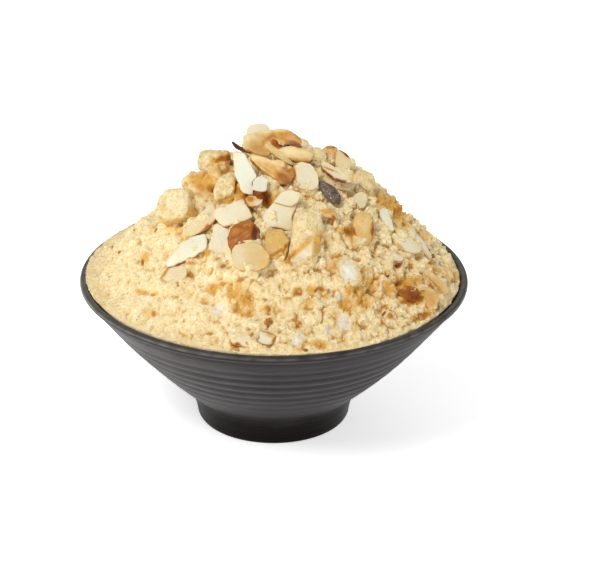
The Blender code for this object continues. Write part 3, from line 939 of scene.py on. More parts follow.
@dataclass
class Bowl:
    """Wheel-thrown stoneware bowl on a hollow foot ring."""

    sectors: int = 256
    rim_radius: float = 100 * MM
    rim_height: float = 80 * MM
    lip: tuple[float, float] = (97.5 * MM, 75.4 * MM)
    foot_top: tuple[float, float] = (44.5 * MM, 15.7 * MM)
    foot_radius: float = 40.3 * MM
    foot_wall: float = 6 * MM
    foot_recess: float = 10 * MM
    wall: float = 4 * MM
    bulge: float = 2.5 * MM
    floor: tuple[float, float] = (30 * MM, 19 * MM)
    ribs: int = 8
    rib_depth: float = 0.55 * MM
    rib_band: tuple[float, float] = (0.09, 0.86)
    rib_steps: int = 150
    wobble: float = 0.25 * MM

    def wall_point(self, s: float, depth: float) -> tuple[float, float]:
        """Point of the wall.

        Args:
            s: share of the way from the lip to the foot.
            depth: how far inside the outer face.

        Returns:
            Radius and height.
        """
        run = self.foot_top[0] - self.lip[0]
        fall = self.foot_top[1] - self.lip[1]
        length = math.hypot(run, fall)
        bulge = self.bulge * 4 * s * (1 - s) - depth
        return self.lip[0] + run * s - fall / length * bulge, self.lip[1] + fall * s + run / length * bulge

    def inner(self, depth: float) -> list[tuple[float, float]]:
        """Inside of the bowl, from the lip down to its middle.

        Args:
            depth: how far inside the outer face it runs.

        Returns:
            Radii and heights.
        """
        points = [(self.rim_radius - depth, self.rim_height - 1.5 * MM)]
        points += [self.wall_point(s, depth) for s in (0.06, 0.32, 0.58, 0.82)]
        extra = depth - self.wall
        return points + [(self.floor[0] - extra, self.floor[1] + 1.6 * MM + extra), (0.0, self.floor[1] + extra)]

    def outline(self) -> list[tuple[float, float, float, float, float]]:
        """Whole profile, with the share of painted crest highlight, painted groove shade and wear with painted
        highlight at each point.

        Returns:
            Radius, height, crest highlight, groove shade and wear with highlight, from the middle of the inside to that
            of the foot.
        """
        points = [(r, z, 0.0, 0.0, 0.0) for r, z in reversed(self.inner(self.wall))]
        high, wide = self.rim_height, self.rim_radius
        # lip steps in millimetres in and down, with the share of wear and painted highlight; the last step under the
        # lip's outer edge gets painted shade as groove
        lip = ((3.2, 0.3, 0.4), (2.4, 0.05, 0.45), (1.6, 0.0, 0.4), (1.0, 0.15, 0.3), (0.5, 0.5, 0.5), (0.2, 0.9, 1.0))
        lip += ((0.0, 1.4, 0.8), (0.0, 1.9, 0.0), (0.15, 2.4, 0.0), (0.9, 3.1, 0.0))
        points += [(wide - a * MM, high - b * MM, 0.0, float(a > 0.8 and b > 3), wear_and_highlight) for a, b, wear_and_highlight in lip]
        first, last = self.rib_band
        for k in range(self.rib_steps + 1):
            s = k / self.rib_steps
            share = (s - first) / (last - first)
            wave = 0.0
            if 0 < share < 1:
                fade = min(1.0, 2.2 * (1 - share) + 0.12) * min(1.0, 8 * share)
                wave = fade * (0.5 - 0.5 * math.cos(2 * math.pi * self.ribs * share)) ** 1.4
            # shade: painted shade just under the lip, where the wall is also set in a little
            shade = math.exp(-((s / 0.03) ** 2))
            r, z = self.wall_point(s, 0.2 * MM * shade + self.rib_depth * wave)
            points.append((r, z, float(0 < share < 1) * (1 - wave) ** 3 * 0.8, max(wave, 1.2 * shade), 0.0))
        r, z = self.foot_top
        low = [(r - 0.3 * MM, z - 0.7 * MM), (r - 0.8 * MM, z - 1.8 * MM), (r - 2.1 * MM, z * 0.66)]
        ring, hollow, recess = self.foot_radius, self.foot_radius - self.foot_wall, self.foot_recess
        low += [(ring + 1.2 * MM, z * 0.45), (ring + 0.5 * MM, z * 0.22), (ring + 0.2 * MM, 1.2 * MM)]
        low += [(ring - 0.25 * MM, 0.35 * MM), (ring - 0.8 * MM, 0.0), (hollow, 0.0), (hollow - 0.5 * MM, 0.5 * MM)]
        low += [(hollow - 1.5 * MM, recess - 1 * MM), (hollow - 4 * MM, recess), (0.0, recess + 1 * MM)]
        return points + [(r, z, 0.0, 0.0, 0.0) for r, z in low]

    def build(self) -> bpy.types.Object:
        """Turns the profile, a little unevenly as on a wheel.

        Returns:
            The bowl.
        """
        outline = self.outline()
        angles = np.linspace(0, 2 * math.pi, self.sectors, endpoint=False)
        rings = []
        values = []
        for r, z, crest, groove, wear_and_highlight in outline[1:-1]:
            sway = np.sin(2 * angles + z * 90) + 0.5 * np.sin(5 * angles - z * 200)
            sway = 1 + self.wobble / self.rim_radius * sway
            rings.append(np.stack([r * sway * np.cos(angles), r * sway * np.sin(angles), np.full_like(angles, z)], 1))
            values += [(crest, groove, wear_and_highlight)] * self.sectors
        points = np.concatenate(rings + [np.array([[0, 0, outline[0][1]], [0, 0, outline[-1][1]]])])
        values += [(0.0, 0.0, 0.0)] * 2
        n = self.sectors
        rows = [list(range(ring * n, ring * n + n)) for ring in range(len(rings))]
        faces = [face for upper, lower in zip(rows, rows[1:]) for face in band(upper, lower)]
        faces += fan(rows[0], len(rings) * n, flip=True) + fan(rows[-1], len(rings) * n + 1)
        thing = mesh_object("stoneware_bowl", points, faces)
        table = np.array(values)
        sideways = np.abs(points[:, 0]) / self.rim_radius
        left = np.clip(-points[:, 0] / self.rim_radius, 0, 1)
        # wear with a painted highlight along the lip, stronger on the left and at the sides
        wear_and_highlight = table[:, 2] * (0.2 + 0.3 * left + 0.4 * sideways**4 + 0.35 * cloud(points, 5 * MM))
        # crest: painted highlight on the rib crests, much stronger down the left where the light falls
        crest = np.clip(table[:, 0] * (0.4 + 0.4 * sideways + 1.7 * left), 0, 1)
        # groove: painted shade in the grooves between ribs and under the lip
        groove = table[:, 1] * (0.55 + 0.45 * sideways)
        # painted light down the left side of the wall, from a little below the rim
        below = np.clip((self.rim_height - points[:, 2]) / (4 * MM) - 0.7, 0, 1)
        painted_left_light = left**1.3 * below
        for name, column in (("crest", crest), ("groove", groove), ("wear_and_highlight", np.clip(wear_and_highlight, 0, 1)), ("painted_left_light", painted_left_light)):
            store(thing.data, name, column)
        return finished(thing, GLAZE, ("bowl",))


@dataclass(frozen=True)
class Swelling:
    """A broad rise of the heap: its place, spread and height in millimetres."""

    x: float
    y: float
    spread: float
    height: float


@dataclass
class IceHeap:
    """Heap of shaved ice under soybean powder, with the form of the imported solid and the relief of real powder.

    golden and bare are the photograph's soaked and icy places; the side that it hides gets as many as
    golden_behind and bare_behind say. Powder stands higher within heaped_reach of a topping.
    """

    bowl: Bowl
    edge: float = 78.5 * MM
    rise: float = 68 * MM
    reach: float = 98 * MM
    lean: float = 5 * MM
    bank_share: float = 0.72
    bank_spread: float = 0.45
    spill: float = 0.7 * MM
    heaped_reach: float = 3.2 * MM
    golden_behind: int = 26
    bare_behind: int = 6
    cells: int = 300
    rough: tuple[tuple[float, float], ...] = ((26 * MM, 3.2 * MM), (11 * MM, 2.2 * MM))
    swellings: tuple[Swelling, ...] = (
        Swelling(-34, 4, 19, 7), Swelling(35, 6, 21, 7), Swelling(1, 0, 16, 4), Swelling(4, 34, 22, 6),
        Swelling(-12, -56, 15, 3), Swelling(20, -44, 18, 3), Swelling(62, -8, 18, 3), Swelling(-30, 52, 17, 3),
        Swelling(66, 14, 20, 2.5), Swelling(-72, 22, 20, 2.5), Swelling(40, 46, 18, 1),
    )
    golden: tuple[Spot, ...] = spots(
        (235, 291, 11), (246, 300, 9), (238, 308, 7), (392, 208, 9), (402, 218, 9), (355, 290, 8), (365, 300, 9),
        (346, 303, 7), (372, 285, 7), (320, 346, 5), (436, 272, 7), (405, 284, 8), (213, 288, 6), (380, 200, 7)
    )
    bare: tuple[Spot, ...] = spots(
        (218, 310, 6), (343, 322, 6), (184, 259, 4), (297, 341, 5), (262, 338, 5), (330, 330, 4), (340, 296, 4)
    )
    # Patches on the powder: golden and brown are syrup and browning and pale is bare ice, but the brown and dark in the
    # cavity under slice_white, beside the toasted slab's lower edge and round slice_rim_slab are painted shadow.
    tone_marks: tuple[ToneMark, ...] = painted(
        pale=(
            (344, 322, 4, 9, 0, 0.6), (343, 262, 4, 2, 0, 0.5),
        ),
        golden=(
            (406, 282, 21, 5, 5), (388, 288, 6, 9, 20, 0.9), (205, 181, 12, 10, 0, 0.9), (222, 171, 11, 3.5, 0, 0.8),
            (239, 190, 4, 7), (240, 197, 4, 3, 0, 0.9), (215, 196, 9, 5, 10, 0.8), (200, 196, 8, 3, 0, 0.6),
            (210, 254, 6, 4.5), (175, 229, 13, 2.5, 0, 0.6), (182, 236, 5, 4, 0, 0.5), (275, 198, 3, 6, -30, 0.8),
            (145, 258, 5, 6, 0, 0.8), (210, 255, 4, 5, 0, 0.9), (212, 288, 8, 2.5, 20, 0.8), (286, 263, 6, 4, 0, 0.6),
            (147, 313, 6, 4, 0, 0.5), (140, 292, 5, 3, 0, 0.8), (203, 300, 4, 2.5, 40, 0.7), (245, 311, 5, 3, 0, 0.6),
            (240, 298, 13, 6, -25, 0.45), (392, 205, 21, 4.5, -38, 0.95), (400, 222, 8, 9, 0, 0.6),
            (377, 208, 4, 10, 0, 0.5), (344, 231, 12, 4, 0, 0.7), (352, 243, 3, 4, 0, 0.6),
            (335, 262, 7, 2.5, 20, 0.7), (332, 267, 5, 3, -30, 0.8), (366, 271, 9, 3, 0, 0.7),
            (363, 283, 6, 14, 0, 0.5), (403, 285, 13, 3.5, -10), (395, 287, 9, 4, 10, 0.85),
            (412, 282, 8, 3, -10, 0.7), (385, 297, 10, 4, 0, 0.5), (428, 303, 9, 8, 0, 0.8), (447, 270, 5, 2, 0, 0.5),
            (456, 275, 6, 5, 0, 0.6), (441, 293, 5, 2, 0, 0.7), (361, 187, 5, 2, 0, 0.7), (312, 291, 5, 4),
            (327, 296, 3, 4, 0, 0.8), (309, 303, 5, 4, 0, 0.8), (304, 309, 6, 3, -30, 0.5), (268, 309, 9, 4, 0, 0.7),
            (247, 312, 9, 5, 0, 0.7), (300, 328, 8, 4, 0, 0.4), (317, 344, 12, 3.5, 0, 0.85), (300, 350, 7, 2, 0, 0.8),
            (343, 304, 9, 4, 0, 0.6), (352, 292, 6, 7, 0, 0.6), (357, 303, 8, 8, 0, 0.5), (335, 318, 6, 12, 0, 0.35),
            (370, 240, 3, 9, 0, 0.5), (345, 175, 8, 5, 0, 0.4),
        ),
        brown=(
            (278, 144, 7, 6), (230, 152, 8, 3, 0, 0.6), (201, 187, 6, 4, 0, 0.5), (211, 188, 5, 5, 0, 0.8),
            (239, 190, 3.5, 6, 0, 0.6), (260, 198, 11, 7), (246, 196, 6, 3.5), (205, 262, 7, 1.6, 25, 0.5),
            (250, 197, 12, 4, -5, 0.95), (268, 203, 3, 5, -30, 0.8), (143, 262, 2, 3), (192, 264, 8, 1.5, 5, 0.6),
            (195, 258, 8, 1, 20, 0.6), (168, 254, 2.5, 1.5, 20, 0.5), (222, 284, 4, 3.5, 0, 0.55),
            (187, 274, 4, 1.5, 60, 0.4), (289, 259, 6, 3, 0, 0.6), (154, 314, 2.5, 3.5, 0, 0.7),
            (152, 294, 3, 2, 0, 0.6), (267, 310, 5, 2, 0, 0.5), (397, 210, 4, 3, 0, 0.7), (350, 232, 5, 6, 0, 0.85),
            (385, 273, 8, 1.5, 0, 0.7), (378, 278, 2.5, 2.5, 0, 0.7), (411, 300, 11, 6), (402, 281, 4, 2.5, 10, 0.9),
            (385, 306, 3, 2, 0, 0.8), (390, 317, 4, 3, -20, 0.7), (383, 322, 2.5, 2, 0, 0.6),
            (421, 317, 10, 3.5, 15, 0.85), (433, 286, 5, 3, -30, 0.7), (430, 265, 4, 3.5, 0, 0.6),
            (455, 281, 4, 1.5, 0, 0.6), (456, 298, 5, 1.5, 20, 0.7), (298, 292, 5, 5, 0, 0.75),
            (321, 289, 5, 2.5, -10, 0.8), (268, 309, 4, 3, 0, 0.6), (269, 323, 5, 4, 0, 0.8),
            (298, 326, 2.5, 2.5, 0, 0.8), (269, 334, 7, 1.2, -20, 0.8), (273, 340, 2.5, 4, 0, 0.7),
            (235, 345, 5, 3.5, -15, 0.8), (247, 348, 4, 1, 0, 0.5), (244, 300, 1.5, 5, 0, 0.5),
            (349, 293, 1.5, 4, 0, 0.5), (357, 325, 1.8, 8, -10, 0.5),
        ),
        dark=(
            (285, 146, 8, 2.5), (213, 190, 2, 2.5), (262, 196, 8, 5, 0, 0.75), (257, 194, 12, 2.5, -5, 0.9),
            (265, 198, 3.5, 6, 0, 0.9), (397, 266, 2, 3), (412, 298, 8, 4, -15, 0.7), (437, 306, 1.8, 6, -10, 0.8),
        ),
    )
    banks: list[tuple[float, float, float, float]] = field(default_factory=list)
    carried: list[str] = field(default_factory=list)

    def base_height(self, x: np.ndarray, y: np.ndarray) -> np.ndarray:
        """Height of the heap before the powder banks up under the toppings.

        Args:
            x: places across.
            y: places from front to back.

        Returns:
            Heights.
        """
        share = np.minimum(np.hypot(x, y) / self.reach, 1.0)
        leaning = np.hypot(x - self.lean * 4 * share * (1 - share), y)
        share = np.minimum(leaning / self.reach, 1.0)
        height = self.edge + self.rise * (1 - share**1.7) ** 1.3
        for rise in self.swellings:
            away = ((x / MM - rise.x) ** 2 + (y / MM - rise.y) ** 2) / rise.spread**2
            height = height + rise.height * MM * np.exp(-2.2 * away)
        calm = np.minimum(1.0, 0.35 + 6 * (1 - np.hypot(x, y) / self.reach))
        for scale, depth in self.rough:
            rows = np.stack([x, y, np.full_like(x, SEED * scale)], 1)
            height = height + calm * depth * cloud(rows, scale)
        return height

    def height(self, x: np.ndarray, y: np.ndarray) -> np.ndarray:
        """Height of the heap with its banks of powder.

        Args:
            x: places across.
            y: places from front to back.

        Returns:
            Heights.
        """
        most = np.zeros_like(x)
        for middle_x, middle_y, spread, rise in self.banks:
            away = ((x - middle_x) ** 2 + (y - middle_y) ** 2) / spread**2
            most = np.maximum(most, rise * np.exp(-away))
        return self.base_height(x, y) + most

    def raise_banks(self, names: list[str]) -> None:
        """Banks powder up under each topping.

        Args:
            names: the toppings' solids.
        """
        self.carried = names
        for name in names:
            points = points_of(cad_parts[name].data)
            middle = points.mean(0)
            spans = np.linalg.svd(points - middle, full_matrices=False)[2]
            sides = sorted(np.ptp((points - middle) @ spans.T, axis=0))
            ground = self.base_height(middle[:1], middle[1:2])[0]
            rise = self.bank_share * (middle[2] - ground)
            if rise > MM:
                self.banks.append((middle[0], middle[1], self.bank_spread * sides[1], rise))

    def disk(self) -> tuple[np.ndarray, np.ndarray]:
        """Spreads a square grid over a disk with little stretch.

        Returns:
            Places across and from front to back, from -1 to 1, as square arrays.
        """
        line = np.linspace(-1, 1, self.cells + 1)
        a, b = np.meshgrid(line, line)
        flat = np.abs(a) > np.abs(b)
        wide = np.where(flat, a, b)
        safe = np.where(wide == 0, 1, wide)
        turn = math.pi / 4 * np.where(flat, b, a) / safe
        return (
            np.where(flat, wide * np.cos(turn), wide * np.sin(turn)),
            np.where(flat, wide * np.sin(turn), wide * np.cos(turn)),
        )

    def core(self) -> bpy.types.Object:
        """Builds the closed core: the uneven top, and the ice below it down along the bowl.

        Returns:
            The core, with a value for its top.
        """
        inside = self.bowl.inner(self.bowl.wall - 0.1 * MM)
        across, along = self.disk()
        share = np.hypot(across, along).ravel()
        rows = np.stack([across.ravel(), along.ravel(), np.zeros(across.size)], 1)
        uneven = 0.7 * cloud(rows, 0.07) + 0.5 * cloud(rows, 0.025, 4)
        left = 1 - np.clip(across.ravel() / 0.5, -0.7, 1.2)
        edge = inside[0][0] + self.spill * (left + uneven) * np.clip(share * 20 - 19, 0, 1)
        x = across.ravel() * edge
        y = along.ravel() * edge
        banked = np.clip(share * 14 - 13, 0, 1)
        height = self.height(x, y)
        over = self.bowl.rim_height + (1.1 * left - 0.7 + 0.5 * uneven) * MM
        top = np.stack([x, y, height + banked * np.maximum(over - height, 0)], 1)
        edge = inside[0][0]
        n = self.cells + 1
        faces = grid(n)
        border = list(range(n)) + [row * n + n - 1 for row in range(1, n)]
        border += [(n - 1) * n + k for k in range(n - 2, -1, -1)] + [row * n for row in range(n - 2, 0, -1)]
        layers = [top]
        upper = border
        directions = top[border][:, :2] / np.hypot(top[border][:, :1], top[border][:, 1:2])
        start = len(top)
        for radius, height in inside[1:-1]:
            layers.append(np.column_stack([directions * radius, np.full(len(border), height)]))
            lower = list(range(start, start + len(border)))
            faces += band(upper, lower)
            upper = lower
            start += len(border)
        layers.append(np.array([[0, 0, inside[-1][1]]]))
        faces += fan(upper, start)
        points = np.concatenate(layers)
        thing = mesh_object("ice_core", points, faces)
        reach = np.hypot(points[:, 0], points[:, 1]) / edge
        high = np.zeros(len(points))
        high[: len(top)] = np.clip((1.0 - reach[: len(top)]) * 24, 0.45, 1) * (share < 0.999)
        store(thing.data, "top", high)
        return thing

    def soak(self, thing: bpy.types.Object) -> None:
        """Marks where syrup has soaked in, where ice lies bare and where the powder is crumbly.

        Args:
            thing: the core.
        """
        points = points_of(thing.data)
        tree = BVHTree.FromObject(thing, bpy.context.evaluated_depsgraph_get())
        rng = random.Random(SEED)
        ragged = cloud(points, 3 * MM) * 0.55 + cloud(points, 1.3 * MM, 5) * 0.35
        for name, marks, strewn in (("wet", self.golden, self.golden_behind), ("bare", self.bare, self.bare_behind)):
            value = np.zeros(len(points))
            places = []
            for spot in marks:
                hit, _, _, distance = tree.ray_cast(LENS.eye, LENS.ray(spot.across, spot.down))
                if hit:
                    places.append((hit, spot.reach * distance / LENS.focal))
            for _ in range(strewn):
                angle = rng.uniform(-0.1, math.pi + 0.1)
                radius = self.reach * math.sqrt(rng.uniform(0.05, 0.8))
                x, y = radius * math.cos(angle), radius * math.sin(angle)
                places.append((Vector((x, y, self.height(np.array([x]), np.array([y]))[0])), rng.uniform(2, 5) * MM))
            for middle, reach in places:
                away = np.linalg.norm(points - np.array(middle), axis=1) / reach
                value = np.maximum(value, np.clip(1.6 - away * 1.15 + ragged, 0, 1))
            store(thing.data, name, value)
        right = np.clip(0.45 + points[:, 0] / (110 * MM) + 0.5 * cloud(points, 20 * MM, 2), 0, 1)
        near = KDTree(sum(len(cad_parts[name].data.vertices) for name in self.carried))
        for name in self.carried:
            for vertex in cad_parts[name].data.vertices:
                near.insert(vertex.co, 0)
        near.balance()
        away = np.array([near.find(point)[2] for point in points])
        heaped = 0.9 * np.exp(-((away / self.heaped_reach) ** 2))
        top = np.empty(len(points), np.float32)
        thing.data.attributes["top"].data.foreach_get("value", top)
        open_air = np.clip((top - 0.3) * 4, 0, 1)
        store(thing.data, "crumbly", np.clip(0.2 + 0.75 * right + heaped, 0, 1.4) * open_air)
        store(thing.data, "clods", np.clip(1.5 * right - 0.45 + 0.6 * heaped, 0, 1.2) * open_air)
        store(thing.data, "heaped", heaped * open_air * np.clip(0.7 + 1.3 * cloud(points, 6 * MM, 9), 0, 1.6))
        mark_tones(thing.data, self.tone_marks, ragged)

    def build(self) -> bpy.types.Object:
        """Grows the lumps, clods and grains of powder on the core.

        Returns:
            The heap.
        """
        core = self.core()
        self.soak(core)
        growth = Growth("powder_relief")
        crumbly = growth.read("crumbly")
        warp = growth.node(
            "ShaderNodeTexNoise", None, {"Scale": growth.given("Warp per metre", 1 / (9 * MM)), "Detail": 2.0}
        )
        moved = growth.scaled(warp.outputs["Color"], growth.given("Warp", 5 * MM))
        start = growth.node("GeometryNodeInputPosition")
        place = growth.node("ShaderNodeVectorMath", {"operation": "ADD"}, {0: start, 1: moved}).outputs[0]
        total: Socket | None = None
        for label, size, depth, steady in (
            ("Lump", 9 * MM, 2.3 * MM, 0.5),
            ("Clod", 4.4 * MM, 2.1 * MM, 0.28),
            ("Grain", 2.2 * MM, 1.1 * MM, 0.45),
        ):
            cell = growth.node(
                "ShaderNodeTexVoronoi",
                {"feature": "SMOOTH_F1"},
                {"Vector": place, "Scale": growth.given(f"{label}s per metre", 1 / size), "Smoothness": 0.22},
            )
            dome = growth.sum_of("SUBTRACT", 0.5, cell.outputs["Distance"])
            amount = growth.node("ShaderNodeMapRange", None, {"Value": crumbly, "To Min": steady, "To Max": 1.0})
            grown = growth.sum_of("MULTIPLY", dome, amount.outputs[0], growth.given(f"{label} depth", 2 * depth))
            total = growth.sum_of("ADD", total, grown) if total else grown
        for label, size, depth in (("Froth", 5 * MM, 2.8 * MM), ("Fine froth", 1.9 * MM, 1.9 * MM)):
            froth = growth.node(
                "ShaderNodeTexNoise",
                None,
                {"Vector": place, "Scale": growth.given(f"{label} per metre", 1 / size), "Detail": 3.0},
            )
            level = growth.sum_of("SUBTRACT", froth.outputs["Fac"], 0.5)
            amount = growth.node("ShaderNodeMapRange", None, {"Value": crumbly, "To Min": 0.55, "To Max": 1.1})
            level = growth.sum_of("MULTIPLY", level, amount.outputs[0])
            total = growth.sum_of("ADD", total, growth.sum_of("MULTIPLY", level, growth.given(f"{label} depth", depth)))
        total = growth.sum_of("SUBTRACT", total, growth.sum_of("MULTIPLY", growth.read("wet"), 0.9 * MM))
        banked = growth.sum_of("MULTIPLY", growth.read("heaped"), growth.given("Powder round toppings", 1.3 * MM))
        total = growth.sum_of("ADD", total, banked)
        total = growth.sum_of("MULTIPLY", total, growth.read("top"))
        raised = growth.noted(growth.source.outputs["Geometry"], "raised", total)
        # hollow: how far each place lies below its blurred surroundings, which the powder's material turns into painted
        # shade
        around = growth.node(
            "GeometryNodeBlurAttribute", {"data_type": "FLOAT"}, {"Value": growth.read("raised"), "Iterations": 14}
        )
        pit = growth.sum_of("SUBTRACT", next(out for out in around.outputs if out.enabled), growth.read("raised"))
        deepest = growth.given("Deepest pit", 0.95 * MM)
        shade = growth.node("ShaderNodeMapRange", None, {"Value": pit, "From Max": deepest})
        marked = growth.noted(raised, "hollow", shade)
        offset = growth.scaled(growth.node("GeometryNodeInputNormal"), growth.read("raised"))
        shaped = growth.node("GeometryNodeSetPosition", None, {"Geometry": marked, "Offset": offset})
        heap = growth.grow(core, shaped, POWDER, "powdered_ice")
        bpy.data.objects.remove(core)
        return finished(heap, POWDER, ("ice_heap",))


@dataclass(frozen=True)
class Scatter:
    """One kind of small thing strewn over a surface by Geometry Nodes."""

    name: str
    finish: Finish
    density: float
    sizes: tuple[float, float]
    flat: float = 0.75
    sides: int = 1
    seed: int = 1
    weight: str = "crumbly"
    lean: float = 0.9
    sink: float = 0.15
    slot: str = "soybean_powder"
    ragged: float = 0.4

    def strew(self, ground: bpy.types.Object) -> bpy.types.Object:
        """Strews the things and joins them in one mesh.

        Args:
            ground: the piece that they lie on.

        Returns:
            The strewn things.
        """
        growth = Growth(self.name)
        density = growth.sum_of("MULTIPLY", growth.given("Per square metre", self.density), growth.read(self.weight))
        points = growth.node(
            "GeometryNodeDistributePointsOnFaces",
            {"distribute_method": "RANDOM"},
            {"Mesh": growth.source.outputs["Geometry"], "Density": density, "Seed": self.seed},
        )
        if self.sides:
            grain = growth.node("GeometryNodeMeshIcoSphere", None, {"Radius": 0.5, "Subdivisions": self.sides})
        else:
            grain = growth.node("GeometryNodeMeshUVSphere", None, {"Radius": 0.5, "Segments": 4, "Rings": 2})
        pick = growth.node(
            "FunctionNodeRandomValue", {"data_type": "FLOAT"}, {2: 0.0, 3: 1.0, "Seed": self.seed + 1}
        ).outputs[1]
        skewed = growth.sum_of("POWER", pick, 2.2)
        low, high = self.sizes
        size = growth.node(
            "ShaderNodeMapRange",
            None,
            {"Value": skewed, "To Min": growth.given("Least", low), "To Max": growth.given("Most", high)},
        ).outputs[0]
        shape = growth.node(
            "FunctionNodeRandomValue",
            {"data_type": "FLOAT_VECTOR"},
            {0: (0.75, 0.6, self.flat * 0.8), 1: (1.25, 1.0, self.flat * 1.15), "Seed": self.seed + 2},
        ).outputs[0]
        scale = growth.scaled(shape, size)
        tilt = growth.node(
            "FunctionNodeRandomValue",
            {"data_type": "FLOAT_VECTOR"},
            {0: (-self.lean, -self.lean, -math.pi), 1: (self.lean, self.lean, math.pi), "Seed": self.seed + 3},
        ).outputs[0]
        turned = growth.node(
            "FunctionNodeRotateRotation",
            {"rotation_space": "LOCAL"},
            {0: points.outputs["Rotation"], 1: growth.node("FunctionNodeEulerToRotation", None, {0: tilt})},
        )
        sunk = growth.scaled(points.outputs["Normal"], growth.sum_of("MULTIPLY", size, -self.sink))
        seated = growth.node("GeometryNodeSetPosition", None, {"Geometry": points.outputs["Points"], "Offset": sunk})
        placed = growth.node(
            "GeometryNodeInstanceOnPoints",
            None,
            {"Points": seated, "Instance": grain.outputs["Mesh"], "Rotation": turned, "Scale": scale},
        )
        real = growth.node("GeometryNodeRealizeInstances", None, {"Geometry": placed})
        uneven = growth.node("ShaderNodeTexNoise", None, {"Scale": 1.1 / high, "Detail": 1.0})
        shifted = growth.node(
            "ShaderNodeVectorMath", {"operation": "SUBTRACT"}, {0: uneven.outputs["Color"], 1: (0.5, 0.5, 0.5)}
        )
        offset = growth.scaled(shifted, self.ragged * high)
        broken = growth.node("GeometryNodeSetPosition", None, {"Geometry": real, "Offset": offset})
        # the crumbs' hollow is set to nothing, so they get no painted hollow shade
        made = growth.grow(ground, growth.noted(broken, "hollow", 0.0), self.finish, self.name)
        return finished(made, self.finish)


class Cut(Enum):
    """How a topping was prepared, which decides its finish and how finely it is worked."""

    SLICE = "sliced_almond"
    HALF = "toasted_almond"
    CAKE = "powdered_rice_cake"
    CHUNK = "almond_skin"
    SEED = "pumpkin_husk"


@dataclass(frozen=True)
class Shade:
    """One side of a topping that differs: the side it lies on in the photograph, its reach and its strength. A toasted
    side is partly toast and partly painted shade on the side turned from the light.

    towards is an angle in degrees, 0 to the right and 90 up. reach is 1 for the half that faces that way
    and nearer 0 for its very end.
    """

    towards: float
    reach: float = 0.6
    strength: float = 1.0


